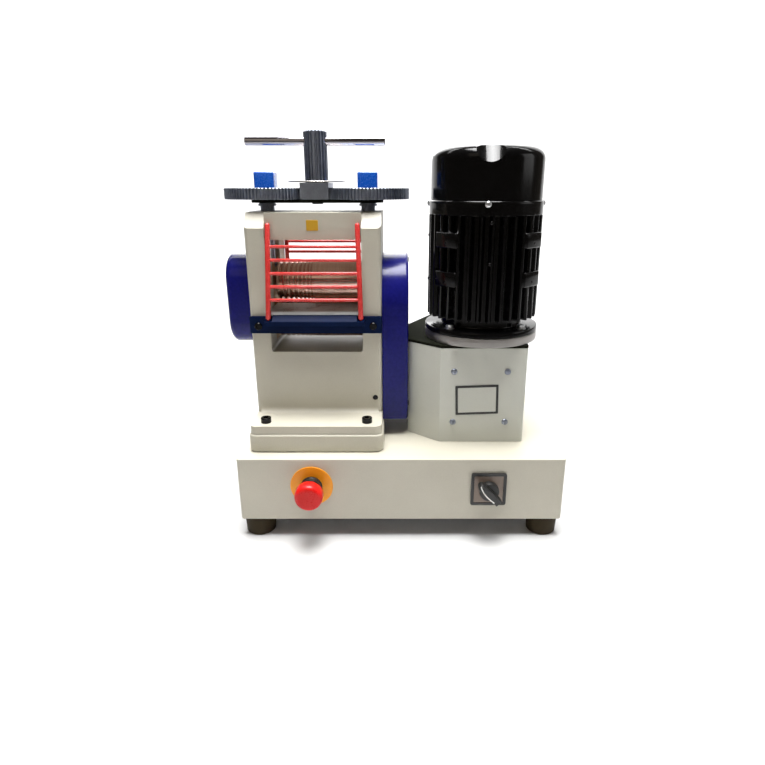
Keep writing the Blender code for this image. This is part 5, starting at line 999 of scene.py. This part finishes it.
for angle in PAD_ANGLES:
    for rise in PAD_RISES:
        pad = block("pad", (PAD_FOOT, -PAD_HALF, rise - PAD_TALL), (PAD_REACH, PAD_HALF, rise + PAD_TALL))
        soften(pad, 0.0018)
        pad.data.transform(shift((MOTOR_X, MOTOR_Y, low.z)) @ turn_by(angle))
        weld(housing, pad)
place(smooth(housing, 30), "frame", "gloss_black_paint", "motor_housing")

# %% [markdown]
# The cowl is pressed from sheet over the fan. Four round bars lean into its shoulder and leave the
# scoops; the same bars, larger by the thickness of the sheet, keep the wall even inside.

# %% Fan cowl
low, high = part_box("fan_cowl")
COWL, COWL_TOP_RADIUS, SHOULDER, COWL_SHEET = (high.x - low.x) / 2, 0.0585, 0.0145, 0.0015
SCOOPS, SCOOP_RADIUS, SCOOP_OFFSET, SCOOP_LEAN, SCOOP_REACH = 4, 0.034, 0.1035, 43.0, 0.040
SCOOP_TURN = -5.0


def cowl_section(sheet, start):
    over, top = COWL - COWL_TOP_RADIUS, high.z - sheet
    shoulder = [(COWL_TOP_RADIUS + over * x - sheet, top - SHOULDER * (1 - y)) for x, y in quarter(12)]
    return [(0, start), (COWL - sheet, start)] + shoulder + [(0, top)]


def scoops(radius):
    made = []
    for number in range(SCOOPS):
        scoop = pin("scoop", radius, -SCOOP_REACH, SCOOP_REACH, steps=64)
        turn = turn_by(SCOOP_TURN + 360 * number / SCOOPS)
        lean = shift((SCOOP_OFFSET, 0, high.z)) @ turn_by(-SCOOP_LEAN, "Y")
        scoop.data.transform(shift(MOTOR) @ turn @ lean)
        made.append(scoop)
    return made


cowl = turned("pressed_fan_cowl", cowl_section(0, low.z), "Z", MOTOR, 128)
cut(cowl, *scoops(SCOOP_RADIUS))
inside = turned("inside", cowl_section(COWL_SHEET, low.z - 2 * OVER), "Z", MOTOR, 128)
cut(inside, *scoops(SCOOP_RADIUS + COWL_SHEET))
cut(cowl, inside)
VENTS, slit = 12, rounded((0.022, -0.0025), (0.048, 0.0025), 0.0024, 6)
for number in range(VENTS):
    vent = plate("vent", slit, high.z - 0.004, high.z + 0.002)
    vent.data.transform(shift(MOTOR) @ turn_by(360 * number / VENTS))
    cut(cowl, vent)
place(soften(cowl, 0.0004, 2, 40), "frame", "gloss_black_paint", "fan_cowl")

# %% Terminal box
low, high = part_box("terminal_box")
lid = high.y - 0.009
box_outline = rounded((low.x, low.z), (high.x, high.z), 0.006)
box_body = plate("black_terminal_box", box_outline, low.y, lid, "Y")
soften(box_body, 0.0006)
place(box_body, "frame", "gloss_black_paint")
LID_EDGE, GASKET_IN = 0.003, 0.002
lid_piece = plate("black_terminal_lid", box_outline, lid + 0.0004, high.y - LID_EDGE, "Y")
dome(lid_piece, "Y", 1, LID_EDGE, 4)
weld(lid_piece, block("gasket", (low.x + GASKET_IN, lid - 0.001, low.z + GASKET_IN),
                      (high.x - GASKET_IN, lid + 0.001, high.z - GASKET_IN)))
place(smooth(lid_piece), "frame", "gloss_black_paint", "terminal_box")

# %% [markdown]
# ## Controls
# The red mushroom button stands on a bare orange-yellow disc. Its head is turned with the usual
# round rim and a hollow neck behind it. The switch is a square dark plate with a pointer knob.

# %% Emergency button


def facing(name, profile, node, steps=96):
    """A piece turned on an axis that points to the operator. The heights are world Y."""
    centre = middle(node)
    return smooth(turned(name, profile, "Y", (centre.x, 0, centre.z), steps))


low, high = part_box("estop_disc")
radius = (high.x - low.x) / 2
profile = [(0.0117, high.y), (radius - 0.0003, high.y), (radius, high.y - 0.0003), (radius, low.y + 0.0005)]
profile += [(radius - 0.0005, low.y), (0.0117, low.y)]
place(facing("bare_yellow_disc", profile, "estop_disc"), "frame", "yellow_plastic", "estop_disc")

low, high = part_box("estop_collar")
outer, barrel, front, STEM_BORE = 0.015, 0.011, low.y, 0.0063
disc_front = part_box("estop_disc")[0].y
seat, waist = disc_front - 0.0003, outer - 0.0012
profile = [(STEM_BORE, high.y), (barrel - 0.0004, high.y), (barrel, high.y - 0.0004), (barrel, seat)]
profile += [(outer, seat), (outer, front + 0.0075), (waist, front + 0.0062), (waist, front + 0.0048)]
profile += [(outer - 0.0002, front + 0.0040), (outer - 0.0002, front + 0.001), (waist, front),
            (STEM_BORE, front)]
place(facing("black_collar", profile, "estop_collar"), "frame", "black_plastic", "estop_collar")

low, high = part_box("estop_button")
radius, face, BRIM = (high.x - low.x) / 2, 0.014, 0.0075
profile = [(0, low.y)] + [(face * share, low.y + 0.0004 * share ** 4) for share in (0.5, 0.8, 0.95)]
profile += [(radius - (radius - face) * (1 - y), low.y + BRIM * (1 - x) + 0.0005) for x, y in quarter(5)]
neck, socket, deep = radius - 0.006, 0.0065, high.y - 0.0076
profile += [(radius, high.y - 0.006), (radius - 0.0012, high.y - 0.0042), (radius - 0.005, high.y - 0.0032)]
profile += [(neck, high.y - 0.0022), (neck, high.y), (socket, high.y), (socket, deep), (0, deep)]
head = facing("red_mushroom_head", profile, "estop_button", 128)
place(head, "estop_head", "red_plastic", "estop_button")

# %% [markdown]
# The thin white strip along the lever's left flank and round the knob's rim is a painted
# highlight: it stands for the light caught on the glossy black knob. It is a separate strip,
# curved as on the photograph, so it keeps a crisp edge.

# %% Selector switch
low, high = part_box("switch_plate")
frame_edge, middle_x, middle_z = 0.0042, (low.x + high.x) / 2, (low.z + high.z) / 2
corners = (low.x, low.z), (high.x, high.z)
surround = plate("black_switch_frame", rounded(*corners, 0.003), low.y, high.y, "Y")
window = rounded(*corners, 0.0015, inset=frame_edge)
cut(surround, plate("sink", window, low.y - 0.001, low.y + 0.0012, "Y"))
switch_at = (middle_x, 0, middle_z)
cut(surround, pin("shaft_hole", 0.0045, low.y - OVER, high.y + OVER, "Y", switch_at, 32))
place(soften(surround, 0.0006), "frame", "black_plastic", "switch_plate")
card_outline = rounded(*corners, 0.0013, inset=frame_edge + 0.0002)
card = plate("bare_switch_card", card_outline, low.y + 0.0006, low.y + 0.0011, "Y")
cut(card, pin("hole", 0.0046, low.y, low.y + 2 * OVER, "Y", switch_at, 32))
place(soften(card, 0.0001, 1), "frame", "dark_plastic")

low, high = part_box("switch_knob")
plate_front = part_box("switch_plate")[0].y
back, skirt_front = plate_front - 0.0003, plate_front - 0.0093
KNOB, LEVER_REACH, LEVER_BACK, LEVER_HALF, LEVER_ANGLE = 0.0135, 0.0215, 0.0175, 0.005, 135
base = [(0, back), (KNOB - 0.0004, back), (KNOB, back - 0.0004), (KNOB, skirt_front + 0.002)]
base += [(KNOB - 0.0006, skirt_front + 0.0006), (KNOB - 0.002, skirt_front), (0, skirt_front)]
knob = turned("black_pointer_knob", base, "Y", switch_at, 72)
outline = arc(LEVER_HALF, (LEVER_REACH - LEVER_HALF, 0), -90, 90, 12)
outline += [(-LEVER_BACK, LEVER_HALF), (-LEVER_BACK, -LEVER_HALF)]
pointing = shift(switch_at) @ turn_by(-LEVER_ANGLE, "Y")
lever = dome(plate("lever", outline, low.y + 0.0012, skirt_front + 0.001, "Y"), "Y", -1, 0.0012, 4)
lever.data.transform(pointing)
weld(knob, lever)
weld(knob, pin("shaft", 0.0038, high.y, back - OVER, "Y", switch_at, 24))
place(smooth(knob, 40), "selector_knob", "black_plastic", "switch_knob")
# Painted highlight: this course follows the glint along the knob's left rim, and the strip gets the
# near-white look.
course = [(-0.0110, 0.0034), (-0.0046, 0.0040), (0.0027, 0.0041), (0.0099, 0.0033)]
course += [(0.0170, 0.0009), (0.0203, -0.0010)]
LINE_HALF, LINE_PROUD = 0.0008, 0.00015
line_outline = [(x, y + LINE_HALF) for x, y in course] + [(x, y - LINE_HALF) for x, y in reversed(course)]
line = plate("painted_highlight_strip", line_outline, low.y - LINE_PROUD, low.y + 0.0013, "Y")
line.data.transform(pointing)
place(line, "selector_knob", "warm_grey_paint", look="painted_rim_highlight")

# %% [markdown]
# The gland takes the mains lead at the back: a hexagon seat against the panel and a domed nut with
# a rubber lip. The lead itself isn't seen in the photograph and is left off.

# %% Mains gland


def hexagon_at(radius, centre=(0, 0)):
    return arc(radius, centre, 0, 300, 5)


low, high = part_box("mains_gland")
wall_back = cabinet_high.y
LEAD_BORE, THREAD, SEAT_RING, NUT, LIP = 0.0045, 0.008, 0.0105, 0.009, 0.0035
profile = [(LEAD_BORE, low.y), (THREAD - 0.0004, low.y), (THREAD, low.y + 0.0004),
           (THREAD, wall_back + 0.0003)]
profile += [(SEAT_RING, wall_back + 0.0003), (SEAT_RING, wall_back + 0.0062), (NUT, wall_back + 0.0068)]
profile += [(NUT, high.y - 0.004)] + arc(LIP, (NUT - LIP, high.y - LIP), 0, 90, 6) + [(LEAD_BORE, high.y)]
gland_body = facing("cable_gland", profile, "mains_gland", 48)
nut = plate("hexagon", hexagon_at(0.0108, (gland.x, gland.z)), wall_back + 0.0004, wall_back + 0.006, "Y")
cut(nut, pin("bore", 0.006, low.y, high.y, "Y", (gland.x, 0, gland.z), 32))
weld(gland_body, nut)
place(smooth(gland_body, 30), "frame", "black_plastic", "mains_gland")

# %% [markdown]
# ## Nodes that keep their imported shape
# Pieces that sit inside, or that already have their final shape, keep the solid from the pack. They
# still get a finish, so that nothing is left in plain grey when a cover is taken off.

# %% Finishes for the pieces inside
INSIDE = {
    "zinc_plated_steel": ("base_bottom_plate",),
    "laminated_steel": ("stator",),
    "black_plastic": ("switch_body", "estop_contact_block", "estop_stem", "cooling_fan"),
    "cast_iron_primer": ("gearbox_housing",),
    "polished_steel": ("motor_rotor",),
    "dark_gear_steel": ("worm", "pinion_shaft", "drive_gear", "upper_roll_gear", "lower_roll_gear"),
    "bearing_bronze": ("worm_wheel",),
}
for slot_name, kept in INSIDE.items():
    for node in kept:
        nodes[node].data.materials.clear()
        nodes[node].data.materials.append(finishes[slot_name])
    print(slot_name, "on", ", ".join(kept))

# %% [markdown]
# ## Screws and bolts
# Small fasteners are modelled once each and copied. A socket screw has a round head with a chamfer
# and a hexagon socket, a button head is a low dome, and a hexagon bolt has a chamfered top.

# %% Fastener patterns
TURN_UP = Matrix.Identity(4)
TURN_FRONT = turn_by(90, "X")
TURN_BACK = TURN_FRONT.inverted()
TURN_RIGHT = turn_by(90, "Y")
TURN_LEFT = turn_by(-90, "Y")


SINK, STUB, HEAD_STEPS, CHAMFER = 0.0012, 0.55, 36, 0.0007


def screw_head(radius, crown, socket_share, bottom, top):
    """A head standing on the origin, along +Z, with a stub that sinks into its seat and a socket."""
    stub = [(0, -SINK), (radius * STUB, -SINK), (radius * STUB, 0)]
    head = turned("pattern", stub + crown, "Z", steps=HEAD_STEPS)
    cut(head, plate("socket", hexagon_at(radius * socket_share), bottom, top))
    return smooth(head, 30)


def socket_screw(radius, height):
    crown = [(radius - 0.0002, 0), (radius, 0.0002), (radius, height - CHAMFER), (radius - CHAMFER, height)]
    return screw_head(radius, crown + [(0, height)], 0.55, height * 0.45, height + OVER)


def button_screw(radius, height):
    crown = [(radius * x, height * y) for x, y in quarter(6)[:-1]]
    return screw_head(radius, crown + [(0, height)], 0.42, height * 0.3, height + OVER)


def hexagon_bolt(radius, height):
    """A hexagon with a chamfered top, made by keeping only what lies inside a turned crown."""
    head = plate("pattern", hexagon_at(radius), 0, height)
    flank, shoulder = radius * 0.98, radius * 0.86
    crown = [(0, -0.001), (flank, -0.001), (flank, height - 0.0006), (shoulder, height + 0.0001)]
    collar = turned("crown", crown + [(0, height + 0.0001)], "Z", steps=HEAD_STEPS)
    use_tool(head, collar, "INTERSECT")
    stem, rim, thick = radius * 0.5, radius * 1.2, 0.0007
    washer = [(0, -SINK), (stem, -SINK), (stem, -0.0001), (rim, -0.0001), (rim, thick), (0, thick)]
    weld(head, turned("washer", washer, "Z", steps=HEAD_STEPS))
    return smooth(head, 30)


def fasten(pattern, name, turn, places, finish_name="gloss_black_paint"):
    """Sets copies of one fastener on the places and drops the pattern."""
    for made in copies(pattern, name, [shift(spot) @ turn for spot in places]):
        place(made, "frame", finish_name)
    bpy.data.objects.remove(pattern)


print("patterns ready")

# %% Screws of the mill head
HEAD_FRONT = HEAD_Y - HALF_DEPTH
foot_places = [(HEAD_X + x, HEAD_Y + y, FOOT_TOP) for x in (-0.071, 0.071) for y in (-0.110, 0.110)]
fasten(socket_screw(0.0072, 0.0075), "frame_foot_screw", TURN_UP, foot_places)
bar_face, bar_screw_z = HALF_DEPTH + BAR_THICK, bar_low.z + 0.0105
for word, side, turn in (("front", -1, TURN_FRONT), ("rear", 1, TURN_BACK)):
    bar_places = [(HEAD_X + x, HEAD_Y + side * bar_face, bar_screw_z) for x in (-0.080, 0.080)]
    fasten(socket_screw(0.0052, 0.0030), f"{word}_bar_screw", turn, bar_places)
cover_low, cover_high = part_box("right_gear_cover")
right_places = [(cover_high.x, HEAD_Y + y, cover_low.z + 0.020) for y in (-0.052, 0.052)]
right_places.append((cover_high.x, HEAD_Y, cover_high.z - 0.0095))
fasten(socket_screw(0.0042, 0.0012), "right_cover_screw", TURN_RIGHT, right_places)
cover_low, cover_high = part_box("left_gear_cover")
left_places = [(cover_low.x, HEAD_Y, z) for z in (cover_low.z + 0.030, cover_high.z - 0.030)]
fasten(socket_screw(0.0042, 0.0012), "left_cover_screw", TURN_LEFT, left_places)
fasten(socket_screw(0.0038, 0.0006), "frame_set_screw", TURN_FRONT, [(HEAD_X + 0.0816, HEAD_FRONT, 0.182)])

# %% Screws of the gearbox cover and bolts of the motor
low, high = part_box("gearbox_cover")
spots = [(low.x + x, cabinet_high.z + z) for x in (0.0635, 0.1385) for z in (0.031, 0.107)]
fasten(button_screw(0.0046, 0.0024), "gearbox_screw", TURN_FRONT, [(x, low.y, z) for x, z in spots],
       "dark_gear_steel")
fasten(button_screw(0.0052, 0.0024), "gearbox_rear_screw", TURN_BACK, [(x, high.y, z) for x, z in spots],
       "zinc_plated_steel")
flange_top, BOLT_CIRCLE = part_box("motor_flange")[0].z + FLANGE_THICK, 0.070
bolt_places = [(x, y, flange_top) for x, y in arc(BOLT_CIRCLE, (MOTOR_X, MOTOR_Y), 45, 315, 3)]
fasten(hexagon_bolt(0.0058, 0.0055), "flange_bolt", TURN_UP, bolt_places, "zinc_plated_steel")


def fasten_round(pattern, name, radius, spots, finish_name="gloss_black_paint"):
    """Copies of one screw that stand out from the motor, at an angle and a height each."""
    for spot, (angle, level) in enumerate(spots):
        move = shift((MOTOR_X, MOTOR_Y, level)) @ turn_by(angle)
        move = move @ shift((radius, 0, 0)) @ TURN_RIGHT
        place(copies(pattern, f"{name}_{spot + 1}", [move])[0], "frame", finish_name)
    bpy.data.objects.remove(pattern)


shield_low, housing_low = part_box("motor_end_shield")[0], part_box("motor_housing")[0]
shield_spots = [(angle, shield_low.z + 0.0146) for angle in (-96, -6, 84, 174)]
fasten_round(button_screw(0.0043, 0.0032), "end_shield_screw", FIN_TIP - 0.0002, shield_spots,
             "zinc_plated_steel")
pad_spots = [(angle, housing_low.z + rise - 0.004) for angle in PAD_ANGLES for rise in PAD_RISES]
fasten_round(button_screw(0.0022, 0.0010), "pad_screw", PAD_REACH - 0.0002, pad_spots)
side_rises = ((-183, 0.110), (-183, 0.049), (-92, 0.130), (-92, 0.078))
side_spots = [(angle, housing_low.z + rise) for angle, rise in side_rises]
fasten_round(button_screw(0.0022, 0.0014), "housing_screw", FIN_TIP - 0.0004, side_spots)

# %% [markdown]
# ## Plates without words
# The photographed mill carries a framed sign on the gearbox cover and a small one on the crosspiece.
# Both are kept as bare plates: the shape and colours stay, the words and signs are left off.

# %% Bare plates
low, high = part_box("gearbox_cover")
PLATE_WIDE, PLATE_TALL, BORDER, TILT, SLACK = 0.061, 0.044, 0.0034, -2.0, 0.0001
plate_at = shift((low.x + 0.097, low.y, cabinet_high.z + 0.065)) @ turn_by(TILT, "Y")


def centred(inset, radius, steps=3):
    """The outline of the framed plate round the origin, drawn in by an inset."""
    half = PLATE_WIDE / 2, PLATE_TALL / 2
    return rounded((-half[0], -half[1]), half, radius, steps, inset)


border = plate("plate_border", centred(0, 0.001), -0.0007, 0, "Y")
cut(border, plate("inside", centred(BORDER, 0.0008), -0.001, -0.0003, "Y"))
border.data.transform(plate_at)
place(soften(border, 0.00015, 1), "frame", "black_plastic")
bare_face = plate("bare_plate_face", centred(BORDER + SLACK, 0.0007), -0.0006, -0.0002, "Y")
bare_face.data.transform(plate_at)
place(bare_face, "frame", "warm_grey_paint", look="cool_grey_paint")
crosspiece_y, SMALL_HALF = HEAD_FRONT + 0.009, (0.008, 0.007)
small_at = (HEAD_X - 0.0008, frame_high.z - 0.0165)
small_corners = [tuple(at + way * half for at, half in zip(small_at, SMALL_HALF)) for way in (-1, 1)]
small = plate("bare_small_plate", rounded(*small_corners, 0.001), crosspiece_y - 0.0006,
              crosspiece_y + 0.0004, "Y")
place(soften(small, 0.0002, 1), "frame", "yellow_plastic", look="ochre_plate")
